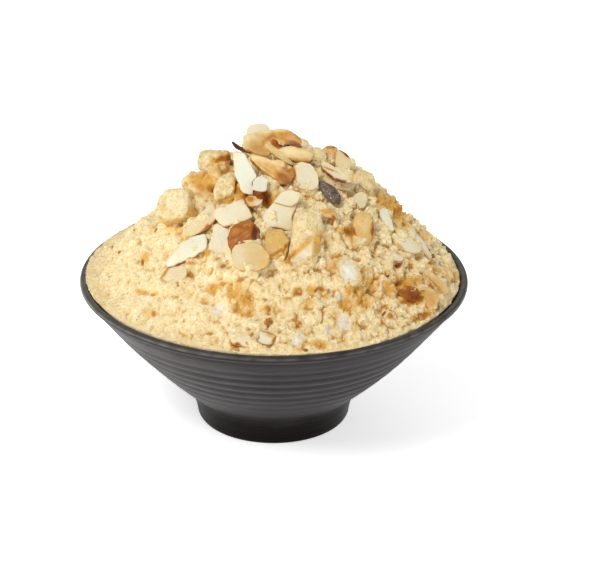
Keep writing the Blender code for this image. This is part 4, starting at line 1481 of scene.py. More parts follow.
@dataclass(frozen=True)
class Topping:
    """One piece on the heap and what sets it apart.

    corners are the pixels of its outline in the photograph, across and down by turns.
    """

    node: str
    cut: Cut
    tan: float = 0.2
    toast: float = 0.0
    # toasted: a browned side, partly toast and partly painted shade on the side turned from the light
    toasted: Shade | None = None
    skin: Shade | None = None
    corners: tuple[float, ...] = ()
    tone_marks: tuple[ToneMark, ...] = ()
    powdered: float = 0.4
    fullness: float = 1.07
    skew: float = 0.35
    cupped: float = 0.0

    finishes = {
        Cut.SLICE: SLICED,
        Cut.HALF: TOASTED,
        Cut.CAKE: CAKE_POWDER,
        Cut.CHUNK: SKIN,
        Cut.SEED: HUSK,
    }

    def refined(self) -> bpy.types.Object:
        """Rounds a copy of a rice cake's solid.

        Returns:
            The fine piece, still in the solid's place.
        """
        work = bmesh.new()
        work.from_mesh(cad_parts[self.node].data)
        bmesh.ops.remove_doubles(work, verts=work.verts, dist=0.002 * MM)
        bmesh.ops.join_triangles(work, faces=work.faces, angle_face_threshold=0.6, angle_shape_threshold=0.9)
        middle = sum((vertex.co for vertex in work.verts), Vector()) / len(work.verts)
        for vertex in work.verts:
            vertex.co = middle + (vertex.co - middle) * self.fullness
        thing = linked(f"{self.node}_piece", mesh_from(work, self.node))
        for kind, levels in (("SIMPLE", 2), ("CATMULL_CLARK", 1)):
            finer = thing.modifiers.new(kind, "SUBSURF")
            finer.subdivision_type = kind
            finer.levels = finer.render_levels = levels
        thing.data = evaluated(thing)
        return thing

    def plate(self) -> tuple[bpy.types.Object, np.ndarray]:
        """Cuts a slice or half of almond: its outline as photographed, its place, bend and thickness as the solid's.

        Returns:
            The piece, and for each vertex how near it is to the rim, from 0 in the middle to 1.
        """
        solid = points_of(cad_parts[self.node].data)
        middle = (solid.max(0) + solid.min(0)) / 2
        axes = np.linalg.svd(solid - solid.mean(0), full_matrices=False)[2]
        if axes[2] @ np.array(LENS.look) > 0 and self.corners:
            axes[2] *= -1
        axes[1] = np.cross(axes[2], axes[0])
        local = (solid - middle) @ axes.T
        terms = self.terms(local[:, 0], local[:, 1])
        bend = np.linalg.lstsq(terms, local[:, 2], rcond=None)[0]
        half = np.abs(local[:, 2] - terms @ bend).max()
        outline = self.outline(middle, axes, bend, local)
        rng = np.random.default_rng(sum(map(ord, self.node)))
        angles = np.linspace(0, 2 * math.pi, len(outline), endpoint=False)
        seed = rng.uniform(0, 50)
        circle = np.stack([np.cos(angles), np.sin(angles), np.zeros_like(angles)], 1)
        fray = 1 + (0.0 if self.corners else 0.16) * cloud(circle, 1.1, seed)
        flat = np.column_stack([outline, np.full(len(outline), seed * MM)])
        chips = 0.3 * MM * cloud(flat, 2.6 * MM, seed) + 0.2 * MM * cloud(flat, 1.1 * MM, seed)
        outline = outline * (fray + chips / np.linalg.norm(outline, axis=1).clip(2 * MM))[:, None]
        domed = self.cut is not Cut.SLICE
        shares = (1, 0.97, 0.92, 0.84, 0.74, 0.62, 0.5, 0.38, 0.26, 0.13)
        rings, rims = [], []
        count = len(outline)
        for sign in (1, -1):
            for share in (*shares, 0.0):
                flat = outline * share if share else np.zeros((1, 2))
                rise = (0.3 + 0.7 * math.sqrt(1 - share**2)) if domed else (0.6 if share == 1 else 1.0)
                if sign == 1:
                    rise -= self.cupped * min(1.0, (1 - share) / 0.45) ** 1.5
                middles = self.terms(flat[:, 0], flat[:, 1]) @ bend
                ripple = 0.18 * MM * cloud(np.column_stack([flat, np.full(len(flat), seed * MM)]), 5 * MM)
                level = middles + ripple + sign * half * rise
                rings.append(middle + np.column_stack([flat, level]) @ axes)
                rims.append(np.full(len(flat), share))
        per_side = count * len(shares) + 1
        faces = []
        for start, flip in ((0, True), (per_side, False)):
            rows = [list(range(a, a + count)) for a in range(start, start + per_side - 1, count)]
            for upper, lower in zip(rows, rows[1:]):
                faces += band(upper, lower, flip)
            faces += fan(rows[-1], start + per_side - 1, flip)
        faces += band(list(range(count)), list(range(per_side, per_side + count)))
        thing = mesh_object(f"{self.node}_piece", np.concatenate(rings), faces)
        work = bmesh.new()
        work.from_mesh(thing.data)
        bmesh.ops.recalc_face_normals(work, faces=work.faces)
        work.to_mesh(thing.data)
        work.free()
        thing.data.shade_smooth()
        return thing, np.concatenate(rims)

    @staticmethod
    def terms(x: np.ndarray, y: np.ndarray) -> np.ndarray:
        """Terms of a gently bent sheet at places in its plane."""
        return np.stack([np.ones_like(x), x, y, x * x, x * y, y * y], 1)

    def outline(self, middle: np.ndarray, axes: np.ndarray, bend: np.ndarray, local: np.ndarray) -> np.ndarray:
        """Finds the piece's outline in its own plane.

        Args:
            middle: the piece's middle.
            axes: its long, wide and thin directions.
            bend: how its sheet is bent.
            local: the solid's vertices along those directions.

        Returns:
            Evenly spaced points, one row of two each.
        """
        if self.corners:
            corners = []
            eye = np.array(LENS.eye)
            for across, down in zip(self.corners[::2], self.corners[1::2]):
                ray = np.array(LENS.ray(across, down))
                level = 0.0
                for _ in range(4):
                    far = ((middle - eye) @ axes[2] + level) / (ray @ axes[2])
                    x, y = ((eye + ray * far - middle) @ axes.T)[:2]
                    level = (self.terms(np.array([x]), np.array([y])) @ bend)[0]
                corners.append((x, y))
            loop = np.array(corners)
        else:
            order = convex_hull_2d([tuple(row[:2]) for row in local])
            loop = local[order][:, :2]
        for _ in range(2):
            after = np.roll(loop, -1, axis=0)
            loop = np.concatenate([0.82 * loop + 0.18 * after, 0.18 * loop + 0.82 * after], 1).reshape(-1, 2)
        closed = np.vstack([loop, loop[:1]])
        way = np.concatenate([[0], np.cumsum(np.linalg.norm(np.diff(closed, axis=0), axis=1))])
        count = max(24, int(way[-1] / (0.5 * MM)))
        steps = np.linspace(0, way[-1], count, endpoint=False)
        return np.stack([np.interp(steps, way, closed[:, 0]), np.interp(steps, way, closed[:, 1])], 1)

    def cut_sides(self, points: np.ndarray, seed: int) -> np.ndarray:
        """Flattens a rice cake a little on the sides where it was cut from its slab.

        Args:
            points: the piece's vertices.
            seed: picks how its sides lie.

        Returns:
            The vertices, none of them moved far.
        """
        rng = np.random.default_rng(seed)
        turn = np.linalg.qr(np.eye(3) + self.skew * rng.normal(size=(3, 3)))[0]
        middle = (points.max(0) + points.min(0)) / 2
        local = (points - middle) @ turn
        for axis in range(3):
            for sign in (1, -1):
                along = sign * local[:, axis]
                limit = rng.uniform(0.74, 0.84) * along.max()
                local[:, axis] = sign * np.where(along > limit, limit + 0.15 * (along - limit), along)
        return middle + local @ turn.T

    def side(self, points: np.ndarray, shade: Shade, ragged: np.ndarray) -> np.ndarray:
        """Share of a shade at each point of the piece.

        Args:
            points: the piece's vertices.
            shade: the side that differs.
            ragged: noise that makes its border uneven.

        Returns:
            Values from nothing to the shade's strength.
        """
        angle = math.radians(shade.towards)
        towards = np.array(Vector((math.cos(angle), 0, 0)) + LENS.up * math.sin(angle))
        along = (points - points.mean(0)) @ towards
        along = along / max(np.abs(along).max(), 1e-6)
        start = 1 - shade.reach
        return np.clip((along - start + 0.35 * ragged) / 0.3, 0, 1) * shade.strength

    def build(self, heap: IceHeap) -> bpy.types.Object:
        """Makes the piece and marks its toasted side, partly painted shade, and its skinned and dusted parts.

        Args:
            heap: the heap that it lies on.

        Returns:
            The piece.
        """
        if self.cut is Cut.CAKE:
            thing = self.refined()
            rim = np.zeros(len(thing.data.vertices))
        else:
            thing, rim = self.plate()
        mesh = thing.data
        points = points_of(mesh)
        normals = points_of(mesh, normals=True)
        middle = points.mean(0)
        axes = np.linalg.svd(points - middle, full_matrices=False)[2]
        local = (points - middle) @ axes.T
        seed = sum(map(ord, self.node)) % 97
        ragged = cloud(points, 2.5 * MM, seed) * 1.4
        depths = {Cut.SLICE: 0.0, Cut.HALF: 0.25, Cut.CAKE: 0.8, Cut.CHUNK: 0.45, Cut.SEED: 0.2}
        scales = {Cut.SLICE: 2.5, Cut.HALF: 4, Cut.CAKE: 3.4, Cut.CHUNK: 3, Cut.SEED: 2}
        depth = depths[self.cut] * MM
        rough = sum(share * cloud(points, share * scales[self.cut] * MM, seed) for share in (1.0, 0.5, 0.25))
        if self.cut is Cut.CAKE:
            points = self.cut_sides(points, seed)
        points = points + normals * (depth * rough)[:, None]
        mesh.vertices.foreach_set("co", np.ascontiguousarray(points, np.float32).ravel())
        mesh.update()
        toast = np.full(len(points), self.toast)
        # the toasted side adds toast and painted shade on the side turned from the light
        if self.toasted:
            toast = toast + self.side(points, self.toasted, ragged)
        skin = np.zeros(len(points))
        if self.skin:
            skin = self.side(points, self.skin, ragged)
            if self.cut is Cut.SLICE:
                skin = skin * np.clip((rim - 0.86) / 0.08, 0, 1)
        if self.cut is Cut.SLICE:
            toast = toast + 0.4 * np.clip((rim - 0.9) / 0.1, 0, 1)
        above = points[:, 2] - heap.height(points[:, 0], points[:, 1])
        patches = np.clip(0.3 + 2.4 * cloud(points, 5 * MM, seed + 3), 0, 1) * self.powdered
        buried = np.clip(1.15 - above / (1.6 * MM) + 0.6 * ragged, 0, 1) * (self.powdered > 0)
        dust = np.maximum(buried, 0.8 * patches)
        if self.cut is Cut.CAKE:
            # on a rice cake the toast, with the painted shade of its toasted side, shows as golden syrup
            store(mesh, "wet", np.clip(toast, 0, 1))
            # hollow on a rice cake paints shade where its rough relief sinks
            store(mesh, "hollow", np.clip(-rough * 0.9, 0, 1))
        for name, value in (("toast", toast), ("skin", skin), ("dust", dust)):
            store(mesh, name, np.clip(value, 0, 1))
        store(mesh, "tan", np.full(len(points), self.tan))
        store(mesh, "grain", local)
        mark_tones(mesh, self.tone_marks, ragged)
        share = 1.0 if self.cut is Cut.CAKE else 0.5 * patches * (self.powdered > 0.1)
        hold = np.clip(normals[:, 2], 0, 1) * share
        store(mesh, "hold", np.clip(hold + 0.6 * dust, 0, 1))
        return finished(thing, self.finishes[self.cut], (self.node,))


@dataclass
class Toppings:
    """Everything that lies on the heap."""

    heap: IceHeap
    pieces: tuple[Topping, ...] = (
        Topping(
            # pale at the top left and along the top is a painted highlight, and the dark at the lower right painted
            # shadow
            "toasted_slab", Cut.HALF, tan=0.3, toast=0.25, toasted=Shade(-10, 0.9, 0.5), skin=Shade(-35, 0.35),
            powdered=0.06, cupped=0.6,
            corners=(242.8, 138, 244.4, 135.8, 247.8, 134.4, 259.4, 132.4, 269.4, 130.2, 278.3, 129.4, 287.2, 129.7,
                292.8, 132.4, 299.4, 138, 301.7, 141.9, 301, 147.1, 296.1, 148, 291.7, 146.4, 285, 146.3, 278.3, 147.1,
                273.9, 148.6, 269.4, 154.7, 268.1, 157.1, 262.8, 156.3, 257.2, 154.9, 251.7, 152.7, 246.7, 150.2,
                242.8, 147.1),
            tone_marks=painted(pale=((248, 140, 7, 7, 0, 0.9), (276, 131.3, 16, 2.2, 3, 0.8)),
                golden=((284, 137, 15, 6, -5, 0.95), (259, 149, 12, 6, -25, 0.9)), brown=((271, 138, 10, 3.5, 5, 0.6),
                (263, 143, 2.5, 6, 0, 0.5), (294, 144, 9, 4, -10), (250, 151.5, 6, 1.4, -25, 0.7)),
                dark=((295, 144.5, 6, 2, -10, 0.6), (285, 145.8, 8, 1.3, 8, 0.9))),
        ),
        Topping(
            "crown_slice", Cut.SLICE, tan=0.05, powdered=0,
            corners=(247.2, 130.2, 248.6, 126.9, 253.9, 125.3, 261.7, 124, 267.8, 126, 269.7, 128.9, 270.6, 135.8,
                267.2, 141.3, 258.3, 141.9, 249.4, 140.2, 246.1, 134.7),
        ),
        Topping(
            # pale along the top is a painted highlight; the brown and dark at the lower right are partly skin and
            # partly painted shade
            "toasted_half", Cut.HALF, tan=0.35, toast=0.12, toasted=Shade(-40, 0.95, 0.75), skin=Shade(-30, 0.22, 0.8),
            powdered=0.06, cupped=0.35,
            corners=(248.9, 156.3, 252.8, 155.2, 258.3, 156.3, 263.9, 158.6, 271.7, 160.8, 278.3, 160.8, 283.9, 162.4,
                290.6, 166.9, 294.1, 169.3, 295.2, 175.8, 292, 182.4, 287.2, 184.9, 282.8, 187.7, 279.4, 185,
                278.3, 182.4, 272.8, 179.1, 267.2, 175.8, 263.9, 172.4, 257.2, 168, 251.7, 162.4),
            tone_marks=painted(pale=((264, 160.5, 13, 2.6, -15, 0.6),), golden=((272, 171, 16, 6, -35, 0.8),),
                brown=((285, 180, 9, 6, -30, 0.9), (255, 165, 9, 1.6, -45, 0.7), (293, 173, 2, 6, 0, 0.5)),
                dark=((282, 186, 4, 2.2),)),
        ),
        Topping(
            "pale_half", Cut.HALF, tan=0.25, toasted=Shade(-70, 0.6, 0.4), powdered=0.06,
            corners=(277, 151, 283, 148, 290, 147, 296, 148, 303, 150, 309, 152, 314, 156, 311, 161, 302, 163,
                294, 162, 286, 159, 281, 155),
            tone_marks=painted(pale=((292, 151, 11, 3, -10, 0.5),), golden=((297, 160.5, 12, 2.6, -3, 0.9),),
                brown=((292, 161.8, 6, 1.4, -5, 0.6),)),
        ),
        Topping("toasted_back", Cut.HALF, tan=0.3, toast=0.3),
        Topping(
            "tan_slab", Cut.HALF, tan=0.95, toast=0.1, toasted=Shade(-60, 0.7, 0.3), skin=Shade(10, 0.2),
            corners=(356, 214, 362, 212, 369, 213, 373, 219, 374, 228, 373, 238, 369, 245, 362, 247, 357, 241,
                353, 232, 353, 222),
            tone_marks=painted(brown=((373, 230, 2.2, 9, -5), (354, 232, 2, 7, 10, 0.9), (361, 246, 5, 1.6)),
                dark=((361, 247, 3, 1, 0, 0.6),)),
        ),
        Topping(
            "brown_slab", Cut.HALF, tan=0.7, toast=0.2, powdered=0.7,
            corners=(419.6, 288, 428, 288, 438, 293, 440, 302, 438, 310, 430, 309, 422, 304, 420, 296),
            tone_marks=painted(golden=((430, 300, 9, 8, 0, 0.6),), brown=((422, 291, 4, 3, 0, 0.6),),
                dark=((439, 306, 1.6, 6, -8, 0.8),)),
        ),
        Topping(
            "skin_chunk", Cut.CHUNK, skin=Shade(5, 0.3), powdered=0.06,
            corners=(229, 231, 235, 225, 243, 221.5, 251, 222, 257, 225, 260, 232, 259, 240, 256, 245, 246, 246,
                237, 248, 231, 251, 228, 246, 229, 238),
            tone_marks=painted(pale=((257.5, 236, 1, 5, 0, 0.35),), dark=((255, 233, 3.2, 9, 0, 0.85),)),
        ),
        Topping(
            "pumpkin_seed", Cut.SEED, skin=Shade(-60, 0.5), powdered=0.45,
            corners=(318, 182, 323, 181, 328, 184, 333, 187, 338, 192, 340.5, 197, 340, 204, 335, 204, 330, 201,
                326, 197, 322, 191, 319, 190),
        ),
        Topping(
            # its golden and brown at the lower right are partly syrup and partly painted shade
            "cake_left", Cut.CAKE, toasted=Shade(-40, 0.35, 0.7),
            tone_marks=painted(pale=((176, 203, 12, 8, 0, 0.25),), golden=((191, 214, 4, 8, -15, 0.8),
                (180, 222, 13, 5, 0, 0.5), (166, 224, 7, 2.5, -15, 0.8)), brown=((180, 228, 9, 1.5, 0, 0.45),
                (192, 223, 4, 2, 30, 0.5))),
        ),
        Topping(
            "cake_left_peak", Cut.CAKE, toasted=Shade(20, 0.4, 0.9),
            tone_marks=painted(pale=((229, 161, 3, 1.6, 10),), golden=((220, 164, 12, 4, 0, 0.5),
                (205, 176, 12, 4, 0, 0.9)), brown=((223, 159, 12, 3.5, 12), (232, 164, 3, 6)),
                dark=((232, 168, 2.5, 2),)),
        ),
        Topping(
            "cake_left_clump", Cut.CAKE, toasted=Shade(-30, 0.5, 0.7),
            tone_marks=painted(golden=((199, 181, 9, 9), (211, 184, 7, 8, 10), (189, 187, 3, 4, 0, 0.9)),
                brown=((200, 187, 5, 4, 0, 0.5), (211, 188, 4, 4)), dark=((213.5, 190, 2, 2.5),)),
        ),
        Topping(
            "cake_upper", Cut.CAKE, toasted=Shade(0, 0.35, 0.8),
            tone_marks=painted(golden=((237, 185, 4.5, 6.5), (230, 199, 10, 4, 15)), brown=((237.5, 186, 4, 6, 0, 0.6),
                (229, 201, 6, 2, 15, 0.4))),
        ),
        Topping("cake_top_right", Cut.CAKE, toasted=Shade(-60, 0.4, 0.5)),
        Topping("cake_right_shoulder", Cut.CAKE),
        Topping(
            "cake_speckled", Cut.CAKE, tan=0.8, toast=0.12, toasted=Shade(-20, 0.35, 0.6),
            tone_marks=painted(golden=((275, 238, 11, 9, 0, 0.3),), brown=((278, 252, 7, 2, 30, 0.7),
                (285, 248, 1.5, 5, -20, 0.9))),
        ),
        Topping(
            "cake_long", Cut.CAKE,
            tone_marks=painted(pale=((303, 254, 9, 4.5, 42, 0.75),), golden=((302, 247, 22, 3, 39, 0.9),
                (318, 244, 5, 13, 0, 0.9)), brown=((290, 257, 8, 2.5, 40, 0.6), (321, 240, 1.5, 9, 0, 0.6))),
        ),
        Topping(
            "cake_bare", Cut.CAKE, powdered=0.1,
            tone_marks=painted(pale=((349, 273, 7.5, 11.5, 12),), golden=((362, 280, 5, 12, 0, 0.5),)),
        ),
        Topping("cake_back_left", Cut.CAKE, toasted=Shade(180, 0.3, 0.7)),
        Topping("cake_back_right", Cut.CAKE, toasted=Shade(-90, 0.3, 0.5)),
        Topping("cake_back_low", Cut.CAKE, toasted=Shade(0, 0.3, 0.6)),
        Topping(
            "slice_white", Cut.SLICE, tan=0.12, skin=Shade(-80, 0.12), powdered=0,
            corners=(232.8, 152.4, 237.2, 151.1, 245, 153.6, 248.6, 161.3, 254.1, 170.2, 257.4, 176.9, 253, 181.3,
                252, 185.8, 258.6, 193.6, 254.1, 194.9, 245, 194, 240.6, 190.4, 240, 185.8, 237, 180.2, 234.8, 173.6,
                234.1, 164.7, 233.7, 158),
            tone_marks=painted(pale=((243, 170, 9, 20, -65, 0.1), (246, 172, 12, 24, 0, 0.95))),
        ),
        Topping(
            "slice_white_chip", Cut.SLICE, tan=0.05, skin=Shade(-90, 0.3), powdered=0,
            corners=(252.8, 185.2, 252.3, 181.9, 257.2, 176.9, 262.8, 176.7, 268.1, 180.2, 266.9, 184.7, 267, 191.6,
                261.7, 192.2, 257.2, 191.6, 253, 188.6),
            tone_marks=painted(pale=((260, 184, 12, 12, 0, 0.8),)),
        ),
        Topping(
            "slice_cream", Cut.SLICE, tan=0.3, skin=Shade(180, 0.45), powdered=0.06,
            corners=(292.3, 166.9, 296.1, 163.6, 301.7, 162.4, 309.4, 163.6, 313.9, 168, 317.8, 175.8, 318.9, 184.7,
                316.3, 189.3, 309.4, 190.8, 301.7, 189.7, 297.8, 187.8, 296.1, 184.7, 293.3, 178),
            tone_marks=painted(pale=((306, 175, 7, 11, 0, 0.4),), brown=((293.6, 174, 2.4, 13, 5),),
                dark=((296.6, 184, 1, 6, 10, 0.5),)),
        ),
        Topping(
            "slice_tan_chip", Cut.SLICE, tan=0.9, toast=0.5, skin=Shade(180, 0.6),
            corners=(244, 199, 249, 196, 256, 197, 263, 199, 262, 204, 256, 207, 249, 207, 245, 204),
            tone_marks=painted(pale=((258, 203, 4, 3, 0, 0.8),), brown=((250, 199, 4, 3, 0, 0.7),)),
        ),
        Topping(
            "slice_c", Cut.SLICE, tan=0.25, skin=Shade(-60, 0.4), powdered=0.06,
            corners=(213.8, 225, 218.8, 223.1, 222.5, 226.2, 228.8, 230, 230, 233.1, 228.1, 238.1, 228.5, 245,
                231.9, 250, 232.1, 264, 225, 261.9, 216.2, 256.9, 209.4, 248.8, 208.5, 245, 211.5, 240, 213.1, 232.5),
            tone_marks=painted(pale=((222, 236, 6, 9, 0, 0.6),), brown=((225, 260.5, 10, 1.7, -27, 0.95),)),
        ),
        Topping(
            "slice_a", Cut.SLICE, tan=0.55, toast=0.05, skin=Shade(-40, 0.5), powdered=0.06,
            corners=(210, 204.8, 213.8, 204.4, 215.6, 206.2, 216.9, 220, 213.5, 225, 206.5, 231, 197.5, 235, 190, 237,
                186.2, 235, 184.5, 231.2, 185.6, 229.8, 193.8, 220.6, 201.2, 213.8, 206.9, 208.8),
            tone_marks=painted(pale=((205, 212, 6, 5, 45, 0.5),), brown=((207.5, 228.8, 8.5, 2.6, 36),),
                dark=((198, 234.6, 7, 0.9, 22, 0.4),)),
        ),
        Topping(
            "slice_b", Cut.SLICE, tan=0.25, powdered=0.06,
            corners=(213.1, 213.1, 213.8, 209.8, 216.9, 208.1, 221.2, 207.5, 226, 207.5, 227.1, 205, 230, 203.5,
                235, 202.2, 240, 200, 243.5, 200, 246.2, 202.8, 248.1, 207.5, 252.5, 215, 251.2, 218.1, 246.2, 221,
                240, 223.5, 230, 225.4, 225, 226.9, 222.5, 225.9, 219.4, 223.1, 215.6, 218.8, 213.5, 216.2),
            tone_marks=painted(pale=((232, 212, 14, 6, 15, 0.35),), golden=((231, 226, 12, 0.9, 10, 0.5),)),
        ),
        Topping(
            # the golden line along its lower edge is painted shade
            "slice_d", Cut.SLICE, tan=0.05, skin=Shade(-70, 0.35), powdered=0.06,
            corners=(165.6, 264.4, 168.8, 259.4, 173.8, 254.4, 178.8, 250, 180.6, 245, 185, 241.9, 190, 239,
                197.5, 236, 205.2, 234, 207.2, 236.2, 207.8, 247.8, 203.1, 251.9, 196.2, 255.9, 190, 260.2,
                183.8, 263.4, 173.8, 266.5, 167.5, 267.5),
            tone_marks=painted(pale=((195, 244, 15, 6.5, 25, 0.9),), golden=((195, 258.5, 11, 1, 28, 0.55),)),
        ),
        Topping(
            "slice_e", Cut.SLICE, tan=0.85, toasted=Shade(-25, 0.6, 0.4), powdered=0.06,
            corners=(231.9, 250, 235, 245.6, 241.9, 243.5, 252.5, 242.8, 260.6, 245, 266.2, 250, 270.6, 256.2,
                270, 262.5, 265, 268.8, 256.2, 271.5, 247.5, 270.6, 236.2, 269.6, 232.2, 262.5),
            tone_marks=painted(pale=((238, 254, 6, 12, 0, 0.3),), golden=((260, 258, 11, 8, 0, 0.25),)),
        ),
        Topping(
            "slice_f", Cut.SLICE, tan=0.45, skin=Shade(180, 0.5),
            corners=(160, 280, 163, 273, 168, 268, 176, 266, 184, 266, 187, 270, 186, 277, 180, 282, 169, 283),
            tone_marks=painted(brown=((164.5, 274, 7.5, 1.8, 58, 0.7),)),
        ),
        Topping(
            "slice_g", Cut.SLICE, tan=0.25,
            corners=(275.6, 200.6, 268.8, 208.8, 262.8, 216.2, 261.9, 218.1, 266.2, 224, 268.8, 227.1, 277.5, 227.8,
                285, 230, 291.9, 231.2, 292.8, 225, 291.9, 220, 292.5, 215, 295.6, 208.8, 297.5, 201.2, 285, 198.8),
            tone_marks=painted(pale=((275, 214, 13, 10, 30, 0.35),)),
        ),
        Topping(
            "slice_g_upper", Cut.SLICE, tan=0.25,
            corners=(280, 194.4, 286.9, 190.6, 292.5, 191, 301.2, 193.8, 299, 200, 297.5, 202.8, 292.5, 206.2,
                285, 205.6, 275.6, 202.8, 274.4, 201.2),
            tone_marks=painted(pale=((287, 198, 10, 8, 30, 0.35),)),
        ),
        Topping(
            "slice_arch", Cut.SLICE, tan=0.8, toast=0.35, skin=Shade(40, 0.7, 0.7),
            corners=(317, 213, 323, 209, 330, 209, 336, 213, 337, 220, 334, 227, 330, 225, 331, 218, 326, 214,
                320, 217),
            tone_marks=painted(golden=((327, 211, 8, 2.5, 0, 0.9),), brown=((333, 221, 3, 6, 0, 0.9),
                (321, 215, 3, 2, 0, 0.6))),
        ),
        Topping(
            "slice_white_bit", Cut.SLICE, tan=0.4, powdered=1,
            corners=(351.4, 199.6, 354.6, 194.2, 361, 192.6, 365.6, 195.4, 366.4, 201.6, 363.4, 208.6, 359, 209.6,
                356, 204.2, 352.6, 203.4),
        ),
        Topping(
            "slice_h", Cut.SLICE, tan=0.15, powdered=0.3,
            corners=(379, 210, 384, 207.6, 388, 214, 392, 222, 394, 231, 391, 232.4, 386, 226, 381, 219),
            tone_marks=painted(pale=((385, 216, 8, 12, 0, 0.8),)),
        ),
        Topping(
            "slice_strip", Cut.SLICE, tan=0.3, powdered=0.3,
            corners=(406, 224.4, 412, 227, 416, 234, 422, 240, 428, 250, 432, 259, 427, 258, 420, 249, 413, 238,
                407, 230),
            tone_marks=painted(pale=((417, 238, 16, 3, -50, 0.6),), golden=((421, 247, 12, 0.8, -50, 0.7),)),
        ),
        Topping(
            "slice_i", Cut.SLICE, tan=0.35, powdered=0.06,
            corners=(390.4, 236.4, 400, 235.6, 412, 240, 422.4, 247, 420, 252.4, 412, 254, 402, 250, 394, 244),
            tone_marks=painted(pale=((410, 247, 8, 4, -30, 0.7),), golden=((396, 244, 9, 2, -35, 0.9),
                (392, 239, 3, 3, 0, 0.8))),
        ),
        Topping(
            "slice_grey", Cut.SLICE, tan=0.3, skin=Shade(180, 0.5),
            corners=(388, 254, 394, 253, 400, 256, 404, 259, 400, 262, 393, 260, 389, 258),
        ),
        Topping(
            "slice_stick", Cut.SLICE, tan=0.55, toast=0.05, powdered=0.06,
            corners=(420.6, 268, 424.4, 266.6, 430, 274, 438, 281, 445, 288, 449, 293.6, 444.4, 294.4, 438, 289.6,
                430, 282.4, 424, 275),
            tone_marks=painted(golden=((434, 282, 15, 3, -43, 0.7),), brown=((433, 284.5, 14, 0.8, -43, 0.8),)),
        ),
        Topping(
            "slice_rim", Cut.SLICE, tan=0.9, toast=0.2,
            corners=(432, 267, 440, 269, 447, 273, 450, 280, 444, 284, 437, 280, 433, 274),
            tone_marks=painted(golden=((442, 277, 6, 5, 0, 0.8),)),
        ),
        Topping(
            # its brown and dark are partly toast and partly painted shade of the hollow it lies in
            "slice_rim_slab", Cut.SLICE, tan=1, toast=0.9, powdered=0,
            corners=(399, 290, 406, 286, 414, 287, 420, 294, 422, 302, 418, 305.6, 410, 303, 403, 299, 398, 295),
            tone_marks=painted(golden=((414, 299, 5, 2, -30, 0.6),), brown=((411, 295, 16, 14),),
                dark=((412, 294, 8, 5, -20, 0.5),)),
        ),
        Topping(
            "slice_front", Cut.SLICE, tan=0.2, powdered=0.06,
            corners=(259, 331.9, 263.8, 331.5, 270, 333.5, 276.9, 336.9, 275, 341.2, 270.6, 344, 263.8, 343.8,
                258.1, 342.5, 260, 337.5),
            tone_marks=painted(pale=((263, 341, 5, 3, 0, 0.6),), golden=((270, 335, 7, 3, -17, 0.8),),
                brown=((269, 332.6, 9, 1.6, -17, 0.8), (274.5, 340, 2.2, 4.5, -30, 0.8))),
        ),
        Topping(
            "slice_front_left", Cut.SLICE, tan=0.2, powdered=0.06,
            corners=(227.8, 332.5, 230, 330, 236.2, 328.8, 245, 332.5, 251.2, 338.1, 255.6, 344.4, 250, 347.8,
                243.1, 345.8, 237.5, 345, 231.2, 343.1),
            tone_marks=painted(golden=((241, 333, 5, 4, 0, 0.4),), brown=((237, 346, 5, 3.4),),
                dark=((240, 348.5, 8, 1, 0, 0.7),)),
        ),
        Topping(
            "slice_stack_low", Cut.SLICE, tan=0.5, toast=0.1, skin=Shade(-120, 0.8),
            corners=(316, 170, 323, 173, 330, 178, 337, 182, 345, 184, 352, 186, 349, 191, 340, 191, 332, 188,
                324, 182, 317, 176),
            tone_marks=painted(golden=((336, 184, 6, 3, -20, 0.8),), brown=((328, 176, 11, 2, -25, 0.9),),
                dark=((319, 172, 2.5, 1.5, -30, 0.8),)),
        ),
        Topping(
            "slice_stack", Cut.SLICE, tan=0.3, toast=0.05, skin=Shade(-120, 0.8),
            corners=(321, 162, 328, 164, 334, 168, 341, 173, 348, 174, 353, 171, 355, 177, 351, 183, 343, 183,
                335, 180, 328, 175, 321, 169),
            tone_marks=painted(golden=((352, 176, 3, 6, 0, 0.6),), brown=((330, 169.5, 9, 1, -22, 0.7),)),
        ),
        Topping(
            "slice_curl", Cut.SLICE, tan=0.8, toast=0.45, skin=Shade(90, 0.7),
            corners=(322, 149, 327, 146, 333, 146, 338, 149, 337, 156, 333, 160, 327, 160, 322, 156),
            tone_marks=painted(golden=((328, 152, 5, 4, 0, 0.6),), brown=((330, 147.5, 7, 1.2, 0, 0.9),
                (329, 159, 2, 2.5, 0, 0.7))),
        ),
        Topping(
            "slice_dark_edge", Cut.SLICE, tan=0.6, toast=0.1, skin=Shade(45, 0.6),
            corners=(338, 150, 343, 152, 349, 157, 351, 165, 348, 172, 341, 173, 336, 168, 335, 160, 336, 154),
            tone_marks=painted(brown=((345, 154, 7, 1.2, -40, 0.95),), dark=((345, 154, 5, 0.6, -40, 0.7),)),
        ),
        Topping(
            "slice_sliver", Cut.SLICE, tan=0.9, toast=0.15, skin=Shade(-90, 0.4),
            corners=(264, 144, 269, 144, 273, 147, 278, 151, 283, 155, 288, 160, 293, 164, 295, 168, 289, 166,
                283, 162, 276, 157, 269, 151),
            tone_marks=painted(golden=((276, 158, 6, 2, -45, 0.6),)),
        ),
        Topping(
            "slice_curled", Cut.SLICE, tan=1, toast=0.9, powdered=0,
            corners=(231.5, 142, 234, 142.5, 237, 145.5, 241, 147.5, 246, 149, 252, 152, 252, 154.5, 246, 152.5,
                240, 150.5, 235, 148, 232.5, 145),
            tone_marks=painted(dark=((240, 148, 14, 9),)),
        ),
        Topping("slice_back_a", Cut.SLICE, tan=0.2, skin=Shade(0, 0.4)),
        Topping("slice_back_b", Cut.SLICE, tan=0.5, skin=Shade(180, 0.4)),
        Topping("slice_back_c", Cut.SLICE, tan=0.1),
        Topping("slice_back_d", Cut.SLICE, tan=0.3, skin=Shade(90, 0.4)),
        Topping("slice_back_e", Cut.SLICE, tan=0.4, toast=0.1),
    )

    def names(self) -> list[str]:
        """The toppings' solids."""
        return [piece.node for piece in self.pieces]

